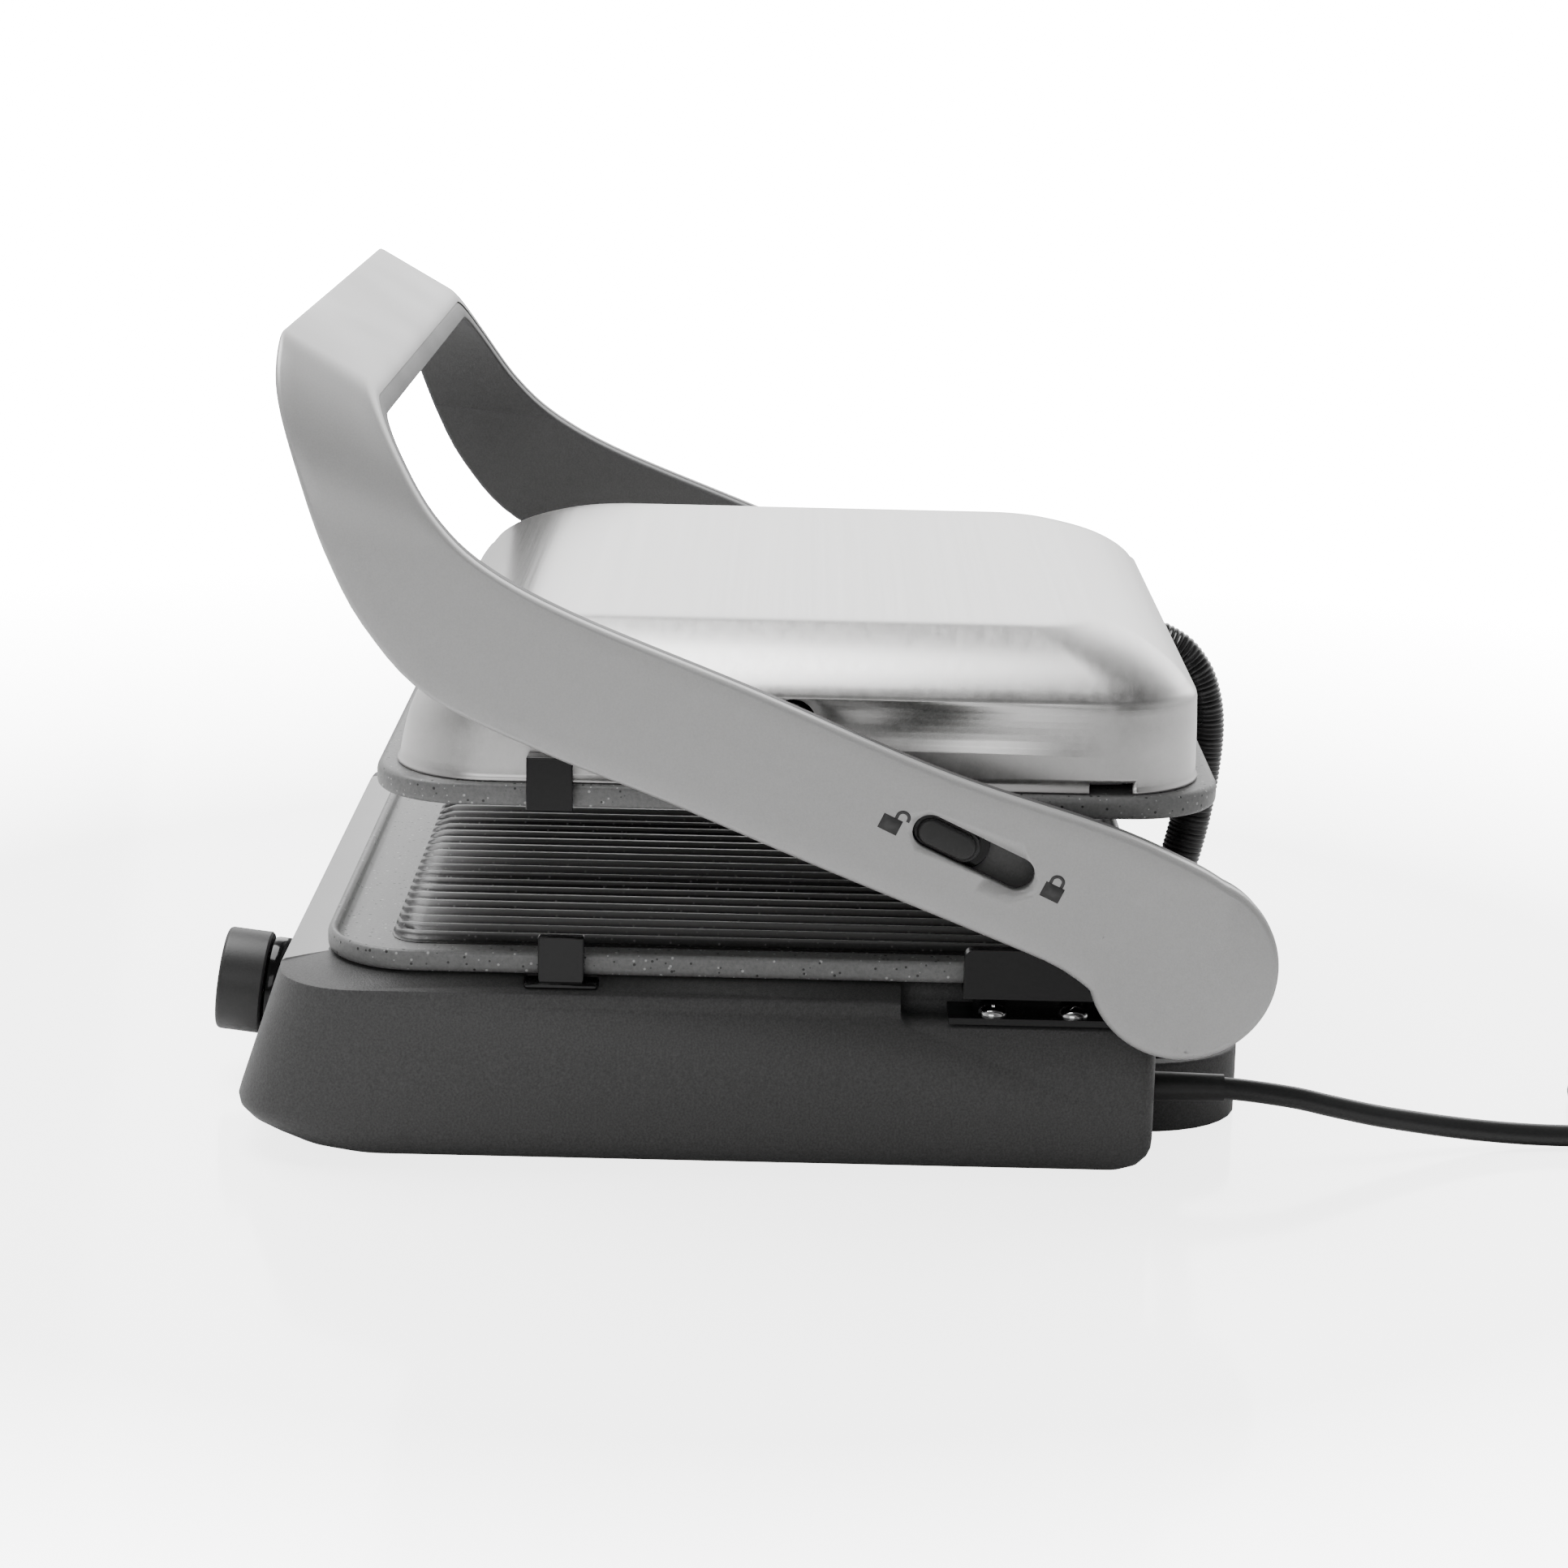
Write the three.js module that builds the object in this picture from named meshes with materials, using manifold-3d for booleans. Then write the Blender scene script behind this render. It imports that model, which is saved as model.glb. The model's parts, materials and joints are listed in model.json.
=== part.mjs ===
// Panini press: a contact grill whose upper plate floats between two swinging arms.
// Millimetres. X runs along the hinge, the front is -Y, +Z is up, and the feet stand on Z = 0.
// Everything is drawn with Y measured from the hinge axis, and one group moves it to the middle.
import * as THREE from "three";
import { mergeVertices } from "three/addons/utils/BufferGeometryUtils.js";
import Module from "manifold-3d";

const wasm = await Module();
wasm.setup();

// ---- Driving dimensions -------------------------------------------------------------------
const plateWidth = 286; // both grill plates, across
const plateDepth = 262; // both grill plates, front to back
const plateCorner = 30; // plan radius of a plate's corners
const plateThickness = 7; // height of a plate's rim
const rimWidth = 3; // the raised lip round a plate
const marginWidth = 17; // the flat floor between the lip and the ribs
const ribPitch = 9;
const ribHeight = 2;
const ribWidth = 4;
const ledge = 9; // how far the base stands out beside the lower plate
const panelDepth = 14; // the silver strip in front of the lower plate
const frontRake = 12; // how far the base's front foot stands ahead of its top edge
const wall = 3; // plastic walls of the base
const sheet = 2; // the lid's steel, drawn a little thicker than the real sheet
const standHeight = 2; // the base's underside above the table
const ledgeHeight = 57.5; // top of the base's outer edge
const lowerPlateZ = 61; // underside of the lower plate
const foodGap = 46; // between the two rims when the press stands open at its rest height
const hubRadius = 30.3; // round end of each arm
const hingeHeight = 75.4;
const armThickness = 12;
const armShell = 5; // the silver outer part of the arm, the rest is its dark liner
const gripFlat = 250; // straight length of the grip
const shoulderDrop = 64; // length of arm over which it curves in to the grip
const pinRadius = 5; // hinge pins
const lidPinRadius = 6;
const knobRadius = 17;
const knobLength = 15;
const knobX = 60;
const knobTilt = 6.6; // degrees that the knob looks up
const footHeight = 2;
const slotLength = 40; // the lock slider's slot
const slotWidth = 10.7;
const buttonLength = 21.5;
const cordDiameter = 7;
const conduitDiameter = 13.5;
const gap = 0.35; // clearance between pieces that touch
const running = 0.4; // clearance round a turning pin
const closingAngle = 20.3; // degrees that the arms swing down to close the press

// ---- Worked-out positions -----------------------------------------------------------------
const plateHalf = plateWidth / 2;
const lowerPlateRear = -1;
const lowerPlateFront = lowerPlateRear - plateDepth;
const baseHalf = plateHalf + ledge;
const baseRear = lowerPlateRear - 2.5;
const baseFrontTop = lowerPlateFront - panelDepth;
const baseFrontFoot = baseFrontTop - frontRake;
const knobFront = baseFrontFoot - 18;
const overallDepth = hubRadius - knobFront;
const hingeY = overallDepth / 2 - hubRadius;
const armInner = baseHalf + 1;
const armOuter = armInner + armThickness;
const linerGap = 0.7;
const linerOuter = armOuter - armShell - linerGap;
const lowerRimZ = lowerPlateZ + plateThickness + 0.5;
const upperPlateZ = lowerRimZ + foodGap;
const skirtZ = upperPlateZ + plateThickness + gap;
// The lid hangs on a pin in each arm; closing swings that pin down and forward by these amounts.
const lidPinY = -plateDepth * 0.45;
const lidPinZ = skirtZ + 20;
const swing = THREE.MathUtils.degToRad(closingAngle);
const pinRise = lidPinZ - hingeHeight;
const closingForward = lidPinY * (1 - Math.cos(swing)) + pinRise * Math.sin(swing);
const upperPlateRear = lowerPlateRear + closingForward;
const upperPlateFront = upperPlateRear - plateDepth;
const bracketInner = plateHalf + 1;
const bracketOuter = bracketInner + 4.5;

// ---- Shape helpers ------------------------------------------------------------------------
function toSolid(geometry) {
  const plain = geometry.index ? geometry.toNonIndexed() : geometry.clone();
  plain.deleteAttribute("normal");
  plain.deleteAttribute("uv");
  const merged = mergeVertices(plain, 1e-4);
  const solid = new wasm.Manifold(
    new wasm.Mesh({
      numProp: 3,
      vertProperties: new Float32Array(merged.attributes.position.array),
      triVerts: new Uint32Array(merged.index.array),
    }),
  );
  return solid;
}

function toGeometry(solid) {
  const mesh = solid.getMesh();
  const positions = new Float32Array(mesh.numVert * 3);
  for (let i = 0; i < mesh.numVert; i++) {
    const start = i * mesh.numProp;
    positions.set(mesh.vertProperties.subarray(start, start + 3), i * 3);
  }
  const geometry = new THREE.BufferGeometry();
  geometry.setAttribute("position", new THREE.BufferAttribute(positions, 3));
  geometry.setIndex(new THREE.BufferAttribute(mesh.triVerts, 1));
  const flat = geometry.toNonIndexed();
  flat.computeVertexNormals();
  return flat;
}

function cut(geometry, ...tools) {
  let solid = toSolid(geometry);
  for (const tool of tools) solid = solid.subtract(toSolid(tool));
  return toGeometry(solid);
}

function join(...pieces) {
  let solid = toSolid(pieces[0]);
  for (const piece of pieces.slice(1)) solid = solid.add(toSolid(piece));
  return toGeometry(solid);
}

function block(x, y, z) {
  const geometry = new THREE.BoxGeometry(x[1] - x[0], y[1] - y[0], z[1] - z[0]);
  return geometry.translate((x[0] + x[1]) / 2, (y[0] + y[1]) / 2, (z[0] + z[1]) / 2);
}

// A round bar along X, Y or Z between two places on that axis.
function bar(axis, radius, from, to, centre, sides = 24) {
  const geometry = new THREE.CylinderGeometry(radius, radius, to - from, sides);
  if (axis === "x") geometry.rotateZ(-Math.PI / 2);
  if (axis === "z") geometry.rotateX(Math.PI / 2);
  const middle = (from + to) / 2;
  if (axis === "x") return geometry.translate(middle, centre[0], centre[1]);
  if (axis === "y") return geometry.translate(centre[0], middle, centre[1]);
  return geometry.translate(centre[0], centre[1], middle);
}

// A rounded rectangle in plan, anticlockwise from above, the same number of points each time.
function planOutline(half, front, rear, frontRadius, rearRadius = frontRadius, steps = 6) {
  const points = [];
  const corners = [
    [half - rearRadius, rear - rearRadius, rearRadius, 0],
    [rearRadius - half, rear - rearRadius, rearRadius, 1],
    [frontRadius - half, front + frontRadius, frontRadius, 2],
    [half - frontRadius, front + frontRadius, frontRadius, 3],
  ];
  for (const [x, y, radius, quarter] of corners) {
    for (let i = 0; i <= steps; i++) {
      const angle = (quarter + i / steps) * (Math.PI / 2);
      points.push(new THREE.Vector2(x + radius * Math.cos(angle), y + radius * Math.sin(angle)));
    }
  }
  return points;
}

// A closed body through rings of points. Each ring has the same count and faces the same way.
function skin(rings) {
  const count = rings[0].length;
  const vertices = [];
  const faces = [];
  for (const ring of rings) for (const point of ring) vertices.push(point.x, point.y, point.z);
  for (let r = 0; r + 1 < rings.length; r++) {
    for (let i = 0; i < count; i++) {
      const a = r * count + i;
      const b = r * count + ((i + 1) % count);
      faces.push(a, b, b + count, a, b + count, a + count);
    }
  }
  for (const [ring, flip] of [[0, true], [rings.length - 1, false]]) {
    const middle = new THREE.Vector3();
    for (const point of rings[ring]) middle.addScaledVector(point, 1 / count);
    const centre = vertices.length / 3;
    vertices.push(middle.x, middle.y, middle.z);
    for (let i = 0; i < count; i++) {
      const a = ring * count + i;
      const b = ring * count + ((i + 1) % count);
      if (flip) faces.push(centre, b, a);
      else faces.push(centre, a, b);
    }
  }
  const geometry = new THREE.BufferGeometry();
  geometry.setAttribute("position", new THREE.Float32BufferAttribute(vertices, 3));
  geometry.setIndex(faces);
  if (toSolid(geometry).volume() < 0) geometry.setIndex(faces.reverse());
  return geometry;
}

// Plan outlines stacked at rising heights: [z, half, front, rear, front radius, rear radius].
function stack(sections, steps = 6) {
  const rings = sections.map(([z, half, front, rear, frontRadius, rearRadius]) =>
    planOutline(half, front, rear, frontRadius, rearRadius, steps).map(
      (point) => new THREE.Vector3(point.x, point.y, z),
    ),
  );
  return skin(rings);
}

// A flat outline in the Y-Z plane, given thickness along X.
function slabAlongX(points, x0, x1) {
  const shape = points instanceof THREE.Shape ? points : new THREE.Shape(points);
  const geometry = new THREE.ExtrudeGeometry(shape, {
    depth: x1 - x0,
    bevelEnabled: false,
    curveSegments: 8,
  });
  const turn = new THREE.Matrix4().makeBasis(
    new THREE.Vector3(0, 1, 0),
    new THREE.Vector3(0, 0, 1),
    new THREE.Vector3(1, 0, 0),
  );
  return geometry.applyMatrix4(turn).translate(x0, 0, 0);
}

// A flat outline in the X-Y plane, given thickness along Z.
function slabAlongZ(points, z0, z1) {
  const shape = points instanceof THREE.Shape ? points : new THREE.Shape(points);
  const geometry = new THREE.ExtrudeGeometry(shape, {
    depth: z1 - z0,
    bevelEnabled: false,
    curveSegments: 8,
  });
  return geometry.translate(0, 0, z0);
}

function mirrored(geometry) {
  const solid = toSolid(geometry).mirror([1, 0, 0]);
  return toGeometry(solid);
}

// ---- Materials and the group --------------------------------------------------------------
const finishes = {
  charcoal: [0x3c3d3f, 0.6, 0.0],
  black: [0x0e0e0f, 0.25, 0.0],
  silver: [0xb9b9b8, 0.45, 0.4],
  steel: [0xb0aeaa, 0.35, 1.0],
  coated: [0x6f6e6b, 0.55, 0.3],
  liner: [0x4a4b4d, 0.6, 0.0],
  rubber: [0x151515, 0.85, 0.0],
  chrome: [0xd8d8d8, 0.15, 1.0],
  element: [0x7a7570, 0.4, 0.9],
};

const inner = new THREE.Group();
inner.position.y = hingeY;

function add(name, finish, geometry) {
  const [color, roughness, metalness] = finishes[finish];
  const material = new THREE.MeshStandardMaterial({ color, roughness, metalness });
  const mesh = new THREE.Mesh(geometry, material);
  mesh.name = name;
  inner.add(mesh);
  return mesh;
}

// ---- Base ---------------------------------------------------------------------------------
const seatZ = lowerPlateZ - gap;
const baseCorner = 26;
const ledgeDrop = seatZ - ledgeHeight;

function baseBody(inset) {
  const half = baseHalf - inset;
  const corner = baseCorner - inset * 0.8;
  const rear = baseRear - inset;
  const rise = ledgeHeight - inset;
  return stack([
    [standHeight, half - 6, baseFrontFoot + 26 + inset, rear - 10, corner, 8],
    [standHeight + 3, half - 2, baseFrontFoot + 14 + inset, rear - 3, corner, 6],
    [standHeight + 9, half, baseFrontFoot + 5 + inset, rear, corner, 5],
    [standHeight + 17, half, baseFrontFoot + inset, rear, corner, 5],
    [rise, half - 1, baseFrontTop + inset, rear, corner, 5],
    [rise + ledgeDrop, half - ledge, lowerPlateFront + 1 + inset, rear - 2, corner, 5],
  ]);
}

const openingHalf = plateHalf - 14;
const openingFront = lowerPlateFront + 14;
const openingRear = lowerPlateRear - 12;
const panelFrontHalf = plateHalf - 22;
const recessFloor = 50.5;
const recessFront = -82.8;
const panelSurface = [
  [baseFrontTop + 1.2, ledgeHeight - 1],
  [lowerPlateFront + 3, seatZ - 0.6],
];

function panelBody(grow) {
  const points = [
    new THREE.Vector2(panelSurface[0][0] - grow, panelSurface[0][1] - 4 - grow),
    new THREE.Vector2(panelSurface[1][0] + grow, panelSurface[1][1] - 4 - grow),
    new THREE.Vector2(panelSurface[1][0] + grow, panelSurface[1][1] + 12 * (grow ? 1 : 0)),
    new THREE.Vector2(panelSurface[0][0] - grow, panelSurface[0][1] + 12 * (grow ? 1 : 0)),
  ];
  return slabAlongX(points, -panelFrontHalf - grow, panelFrontHalf + grow);
}

const knobCentreZ = 32.8;
const tilt = THREE.MathUtils.degToRad(knobTilt);
// The knob's lowest front edge is the foremost point of the whole press.
const knobFaceY = knobFront + knobRadius * Math.sin(tilt);

function knobDisc(radius, from, to, sides = 40) {
  const disc = bar("y", radius, from, to, [0, 0], sides);
  disc.rotateX(-tilt);
  return disc.translate(knobX, knobFaceY, knobCentreZ);
}

const floorInset = wall + 7;
const cordX = 126;
const cordZ = 24;
const bracketFoot = 2;
const screwY = [-54.1, -29.2];
const screwX = baseHalf - 7;
const screwHole = 2.2;
const clipWidth = 14.2;
const lowerClipY = -187.4;
const upperClipY = -191.3;
const clipFootZ = lowerPlateZ - 1.5;
const clipX = plateHalf + 0.6;
const clipThickness = 3.6;
const lipHeight = 1.4;
const lipSwing = 1; // extra height in the plate's notch for the lip as the clip swings
const lowerLipZ = lowerPlateZ + 4;
const upperLipZ = upperPlateZ + plateThickness - 5.4;
const recess = [];
for (const side of [-1, 1]) {
  const x = side < 0 ? [-baseHalf - 5, -plateHalf + 10] : [plateHalf - 10, baseHalf + 5];
  recess.push(block(x, [recessFront, baseRear + 5], [recessFloor, seatZ + 5]));
}
const shellTools = [
  stack([
    [0, baseHalf - floorInset, baseFrontFoot + 32, baseRear - 14, 22, 5],
    [standHeight + 4, baseHalf - floorInset, baseFrontFoot + 32, baseRear - 14, 22, 5],
    [standHeight + 12, baseHalf - wall, baseFrontFoot + wall + 3, baseRear - wall, 24, 5],
    [recessFloor - wall, baseHalf - wall - 1, baseFrontTop + 2, baseRear - wall, 24, 5],
  ]),
  slabAlongZ(planOutline(openingHalf, openingFront, openingRear, 20), 40, seatZ + 4),
  panelBody(gap),
  knobDisc(4.5, -5, 60, 20),
  bar("y", cordDiameter / 2 + 2.2, baseRear - 12, baseRear + 6, [cordX, cordZ], 16),
  ...recess,
];
for (const side of [-1, 1]) {
  const pocketX = side > 0 ? [plateHalf - 1, baseHalf - 2] : [2 - baseHalf, 1 - plateHalf];
  const pocketHalf = clipWidth / 2 + 4;
  const pocketY = [lowerClipY - pocketHalf, lowerClipY + pocketHalf];
  shellTools.push(block(pocketX, pocketY, [clipFootZ - 1, seatZ + 5]));
  for (const y of screwY) {
    shellTools.push(bar("z", screwHole + 0.4, 40, 60, [side * screwX, y], 12));
  }
}
add("base_shell", "charcoal", cut(baseBody(0), ...shellTools));
add(
  "base_bottom",
  "charcoal",
  slabAlongZ(
    planOutline(baseHalf - floorInset - 1, baseFrontFoot + 33, baseRear - 15, 21, 4),
    standHeight + 0.4,
    standHeight + 2.8,
  ),
);
add("front_panel", "silver", panelBody(0));

// ---- Feet ---------------------------------------------------------------------------------
const footX = baseHalf - 24;
const feet = [
  ["front_left", -footX, baseFrontFoot + 46],
  ["front_right", footX, baseFrontFoot + 46],
  ["rear_left", -footX, baseRear - 30],
  ["rear_right", footX, baseRear - 30],
];
for (const [place, x, y] of feet) {
  const foot = new THREE.CylinderGeometry(8, 6.5, footHeight, 24);
  foot.rotateX(Math.PI / 2);
  const mesh = add(`foot_${place}`, "rubber", foot);
  mesh.position.set(x, y, footHeight / 2);
}

// ---- Thermostat and its knob --------------------------------------------------------------
const knobBack = knobLength;
const shaftRadius = 3;
const knob = cut(
  knobDisc(knobRadius, 0, knobBack),
  knobDisc(shaftRadius + gap, 5, knobBack + 1, 16),
);
add("control_knob", "charcoal", knob);
const collar = cut(
  knobDisc(knobRadius - 1.5, knobBack + gap, knobBack + 16, 36),
  baseBody(-gap),
  knobDisc(shaftRadius + 1, knobBack - 1, 60, 16),
);
add("knob_collar", "black", collar);
add("thermostat_shaft", "chrome", knobDisc(shaftRadius, 5 + gap, 44, 16));
const thermostatBody = cut(
  block([knobX - 14, knobX + 14], [baseFrontFoot + 24, baseFrontFoot + 48], [22, 46]),
  knobDisc(shaftRadius + gap, 10, 45, 16),
);
add("thermostat", "black", thermostatBody);

// ---- Grill plates -------------------------------------------------------------------------
// A rounded tray with a lip, a flat margin and raised ribs that run front to back.
function grillPlate(front, rear, z, facingUp, clipY, lipZ) {
  const middle = (front + rear) / 2;
  const floor = 3.5;
  const body = slabAlongZ(planOutline(plateHalf, front, rear, plateCorner), 0, plateThickness);
  const hollow = slabAlongZ(
    planOutline(
      plateHalf - rimWidth,
      front + rimWidth,
      rear - rimWidth,
      plateCorner - rimWidth,
    ),
    floor,
    plateThickness + 1,
  );
  let plate = cut(body, hollow);
  const fieldHalf = plateHalf - rimWidth - marginWidth;
  const fieldFront = front + rimWidth + marginWidth;
  const fieldRear = rear - rimWidth - marginWidth;
  const ribs = Math.floor(fieldHalf / ribPitch);
  for (let i = -ribs; i <= ribs; i++) {
    const x = i * ribPitch;
    const rib = block(
      [x - ribWidth / 2, x + ribWidth / 2],
      [fieldFront, fieldRear],
      [floor - 0.5, floor + ribHeight],
    );
    plate = join(plate, rib);
  }
  if (!facingUp) plate.rotateY(Math.PI).translate(0, 0, plateThickness);
  plate.translate(0, 0, z);
  // A notch in each side takes the clip's lip.
  const notchDepth = 1.4 + gap;
  const notchZ = [lipZ - lipSwing, lipZ + lipHeight + lipSwing];
  const notchY = [clipY - clipWidth / 2 + 1 - gap, clipY + clipWidth / 2 - 1 + gap];
  const notches = [
    block([plateHalf - notchDepth, plateHalf + 1], notchY, notchZ),
    block([-plateHalf - 1, notchDepth - plateHalf], notchY, notchZ),
  ];
  return { geometry: cut(plate, ...notches), middle };
}
const lowerPlate = grillPlate(
  lowerPlateFront,
  lowerPlateRear,
  lowerPlateZ,
  true,
  lowerClipY,
  lowerLipZ,
);
const upperPlate = grillPlate(
  upperPlateFront,
  upperPlateRear,
  upperPlateZ,
  false,
  upperClipY,
  upperLipZ,
);
add("lower_plate", "coated", lowerPlate.geometry);
add("upper_plate", "coated", upperPlate.geometry);

// A heating element: a tube bent into a long U, both ends towards the rear.
function heatingElement(middleY, z) {
  const half = plateHalf * 0.6;
  const reach = plateDepth * 0.28;
  const route = new THREE.CurvePath();
  const v = (x, y) => new THREE.Vector3(x, middleY + y, z);
  const bend = 30;
  route.add(new THREE.LineCurve3(v(-half, reach), v(-half, bend - reach)));
  route.add(
    new THREE.QuadraticBezierCurve3(v(-half, bend - reach), v(-half, -reach), v(bend - half, -reach)),
  );
  route.add(new THREE.LineCurve3(v(bend - half, -reach), v(half - bend, -reach)));
  route.add(
    new THREE.QuadraticBezierCurve3(v(half - bend, -reach), v(half, -reach), v(half, bend - reach)),
  );
  route.add(new THREE.LineCurve3(v(half, bend - reach), v(half, reach)));
  return pipe(route, 3.2, 44, 8);
}

function roundSection(radius, sides) {
  const points = [];
  for (let i = 0; i < sides; i++) {
    const angle = (i / sides) * 2 * Math.PI;
    points.push(new THREE.Vector2(radius * Math.cos(angle), radius * Math.sin(angle)));
  }
  return new THREE.Shape(points);
}

function pipe(route, radius, steps, sides) {
  return new THREE.ExtrudeGeometry(roundSection(radius, sides), {
    steps,
    bevelEnabled: false,
    extrudePath: route,
  });
}
const elementGap = 3.6;
const upperTop = upperPlateZ + plateThickness;
add("lower_element", "element", heatingElement(lowerPlate.middle, lowerPlateZ - elementGap));
add("upper_element", "element", heatingElement(upperPlate.middle, upperTop + elementGap));
add(
  "lower_heat_shield",
  "steel",
  slabAlongZ(planOutline(openingHalf - 8, openingFront + 10, openingRear - 10, 18), 48, 49.5),
);

// ---- Conduit that carries the wires from the base up to the lid ---------------------------
const conduitPath = new THREE.CatmullRomCurve3(
  [
    [-2.6, 38],
    [4.5, 41],
    [10.5, 49],
    [15.6, 61],
    [20.8, 84],
    [23.3, upperPlateZ - 4.5],
    [20.8, upperPlateZ + 11.5],
    [14.8, upperPlateZ + 21.5],
    [7.5, upperPlateZ + 26.5],
    [0, upperPlateZ + 29],
  ].map(([y, z]) => new THREE.Vector3(0, y, z)),
);
function conduitPiece(from, to, radius = conduitDiameter / 2) {
  const points = steps(from, to, 8).map((u) => conduitPath.getPointAt(u));
  return pipe(new THREE.CatmullRomCurve3(points), radius, 14, 12);
}
const conduitJoints = [0.03, 0.42, 0.72, 0.97];
const conduitGap = 0.003;
["lower", "middle", "upper"].forEach((place, i) => {
  const from = conduitJoints[i] + conduitGap;
  add(`conduit_${place}`, "rubber", conduitPiece(from, conduitJoints[i + 1] - conduitGap));
});

// ---- Lid ----------------------------------------------------------------------------------
const lidHalf = plateHalf - 3;
const lidFront = upperPlateFront + 6.5;
const lidRear = upperPlateRear - 6.3;
// [height above the skirt's edge, side, front and rear insets, plan corner radius]
const lidSteps = [
  [0, 0, 0, 0, 30],
  [16, 0.5, 3.5, 0.5, 29],
  [27, 1, 9, 1, 28],
  [29, 2, 11, 2.8, 28],
  [33.5, 7.5, 14, 6.5, 28],
  [39.5, 18.6, 22.5, 15.5, 26],
  [44.2, 30.6, 36, 29, 24],
  [46, 42, 54.5, 48, 20],
];
function lidBody(inset, lower) {
  const sections = lidSteps.map(([rise, side, front, rear, corner], i) => [
    skirtZ + rise - (i === 0 ? lower : inset * 0.9),
    lidHalf - side - inset,
    lidFront + front + inset,
    lidRear - rear - inset,
    corner,
    corner,
  ]);
  return stack(sections);
}
const lidPins = [
  bar("x", lidPinRadius + 1, lidHalf - 12, lidHalf + 12, [lidPinY, lidPinZ]),
  bar("x", lidPinRadius + 1, -lidHalf - 12, -lidHalf + 12, [lidPinY, lidPinZ]),
];
const conduitHole = conduitPiece(0.7, 1, conduitDiameter / 2 + 0.8);
add("lid_shell", "steel", cut(lidBody(0, 0), lidBody(sheet, 1), ...lidPins, conduitHole));
// The frame holds the plate and the pins inside the steel cover.
const frameHalf = lidHalf - sheet - 2.4;
const frameFront = lidFront + sheet + 4;
const frameRear = lidRear - sheet - 2.6;
const frameRing = cut(
  slabAlongZ(planOutline(frameHalf, frameFront, frameRear, 27), skirtZ + 1.5, skirtZ + 13),
  slabAlongZ(
    planOutline(frameHalf - 12, frameFront + 10, frameRear - 12, 20),
    skirtZ - 2,
    skirtZ + 40,
  ),
);
const bossZ = [skirtZ + 10, lidPinZ + lidPinRadius + 1];
const bosses = [];
for (const side of [-1, 1]) {
  const x = side < 0 ? [-frameHalf, 13 - frameHalf] : [frameHalf - 13, frameHalf];
  bosses.push(block(x, [lidPinY - 14, lidPinY + 14], bossZ));
}
const pinHoles = [-1, 1].map((side) =>
  bar("x", lidPinRadius + running, side * frameHalf - 16, side * frameHalf + 16, [
    lidPinY,
    lidPinZ,
  ]),
);
add("lid_frame", "black", cut(join(frameRing, ...bosses), ...pinHoles, conduitHole));

// ---- Arms and grip ------------------------------------------------------------------------
// The arm is a broad strap. Two curves in the Y-Z plane are its upper-rear and lower-front edges.
const reach = plateDepth / 262;
const edge = (points) =>
  new THREE.SplineCurve(points.map(([y, z]) => new THREE.Vector2(y * reach, z)));
const rearEdge = edge([
  [14, hingeHeight + 26.9],
  [0, hingeHeight + 30.8],
  [-15, hingeHeight + 36.6],
  [-31.2, 118],
  [-72.8, 133],
  [-130.9, 156.9],
  [-183, 177.4],
  [-209.2, 191.1],
  [-224.5, 204.9],
  [-236.3, 222.5],
  [-246.9, 241.6],
]);
const frontEdge = edge([
  [2.5, hingeHeight - hubRadius + 0.2],
  [-12, 50.4],
  [-22.7, 61.9],
  [-35.4, 73.2],
  [-51.9, 80.8],
  [-111.2, 103.8],
  [-155.5, 122.2],
  [-192.1, 136.3],
  [-226.7, 153],
  [-245.3, 173.1],
  [-256.1, 193.4],
  [-265.1, 217.9],
  [-272.5, 240.5],
  [-274.1, 257.1],
]);
const gripHalf = gripFlat / 2;
const shoulderReach = armOuter - gripHalf;

// A point on one edge of the strap, `depth` under its outer face. `station` runs from the hub
// (0) to the shoulder (1) and on over the shoulder's quarter ellipse to the grip (2).
function strapPoint(curve, station, depth) {
  const length = curve.getLength();
  const turn = Math.max(0, station - 1) * (Math.PI / 2);
  const outward = new THREE.Vector2(
    Math.cos(turn) / shoulderReach,
    Math.sin(turn) / shoulderDrop,
  ).normalize();
  const x = gripHalf + shoulderReach * Math.cos(turn) - depth * outward.x;
  const along = Math.min(station, 1) * (length - shoulderDrop);
  const down = station < 1 ? length - along : shoulderDrop * (1 - Math.sin(turn));
  const place = curve.getPointAt(1 - (down + depth * outward.y) / length);
  return new THREE.Vector3(x, place.x, place.y);
}

function strap(stations, from, to) {
  const rings = stations.map((station) => [
    strapPoint(rearEdge, station, from),
    strapPoint(frontEdge, station, from),
    strapPoint(frontEdge, station, to),
    strapPoint(rearEdge, station, to),
  ]);
  return rings;
}

function steps(from, to, count) {
  return Array.from({ length: count + 1 }, (_, i) => from + ((to - from) * i) / count);
}

function acrossGrip(rings) {
  const other = rings.map((ring) => ring.map((p) => new THREE.Vector3(-p.x, p.y, p.z)));
  return [...rings, ...other.reverse()];
}

const armStations = steps(0, 1, 22);
const shoulderStations = steps(1, 2, 10).slice(1);
const hubDisc = (x0, x1) => bar("x", hubRadius, x0, x1, [0, hingeHeight], 48);
const slotTilt = THREE.MathUtils.degToRad(-25.3);
const slotY = -62.8;
const slotZ = 108.9;

// A round-ended slot shape lying along the arm, `offset` along the slot from its middle.
function pill(length, width, offset, x0, x1) {
  const straight = length / 2 - width / 2;
  const shape = new THREE.Shape();
  shape.absarc(straight, 0, width / 2, -Math.PI / 2, Math.PI / 2, false);
  shape.absarc(-straight, 0, width / 2, Math.PI / 2, (3 * Math.PI) / 2, false);
  const geometry = slabAlongX(shape, x0, x1);
  geometry.translate(0, offset, 0);
  geometry.rotateX(slotTilt);
  return geometry.translate(0, slotY, slotZ);
}

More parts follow.
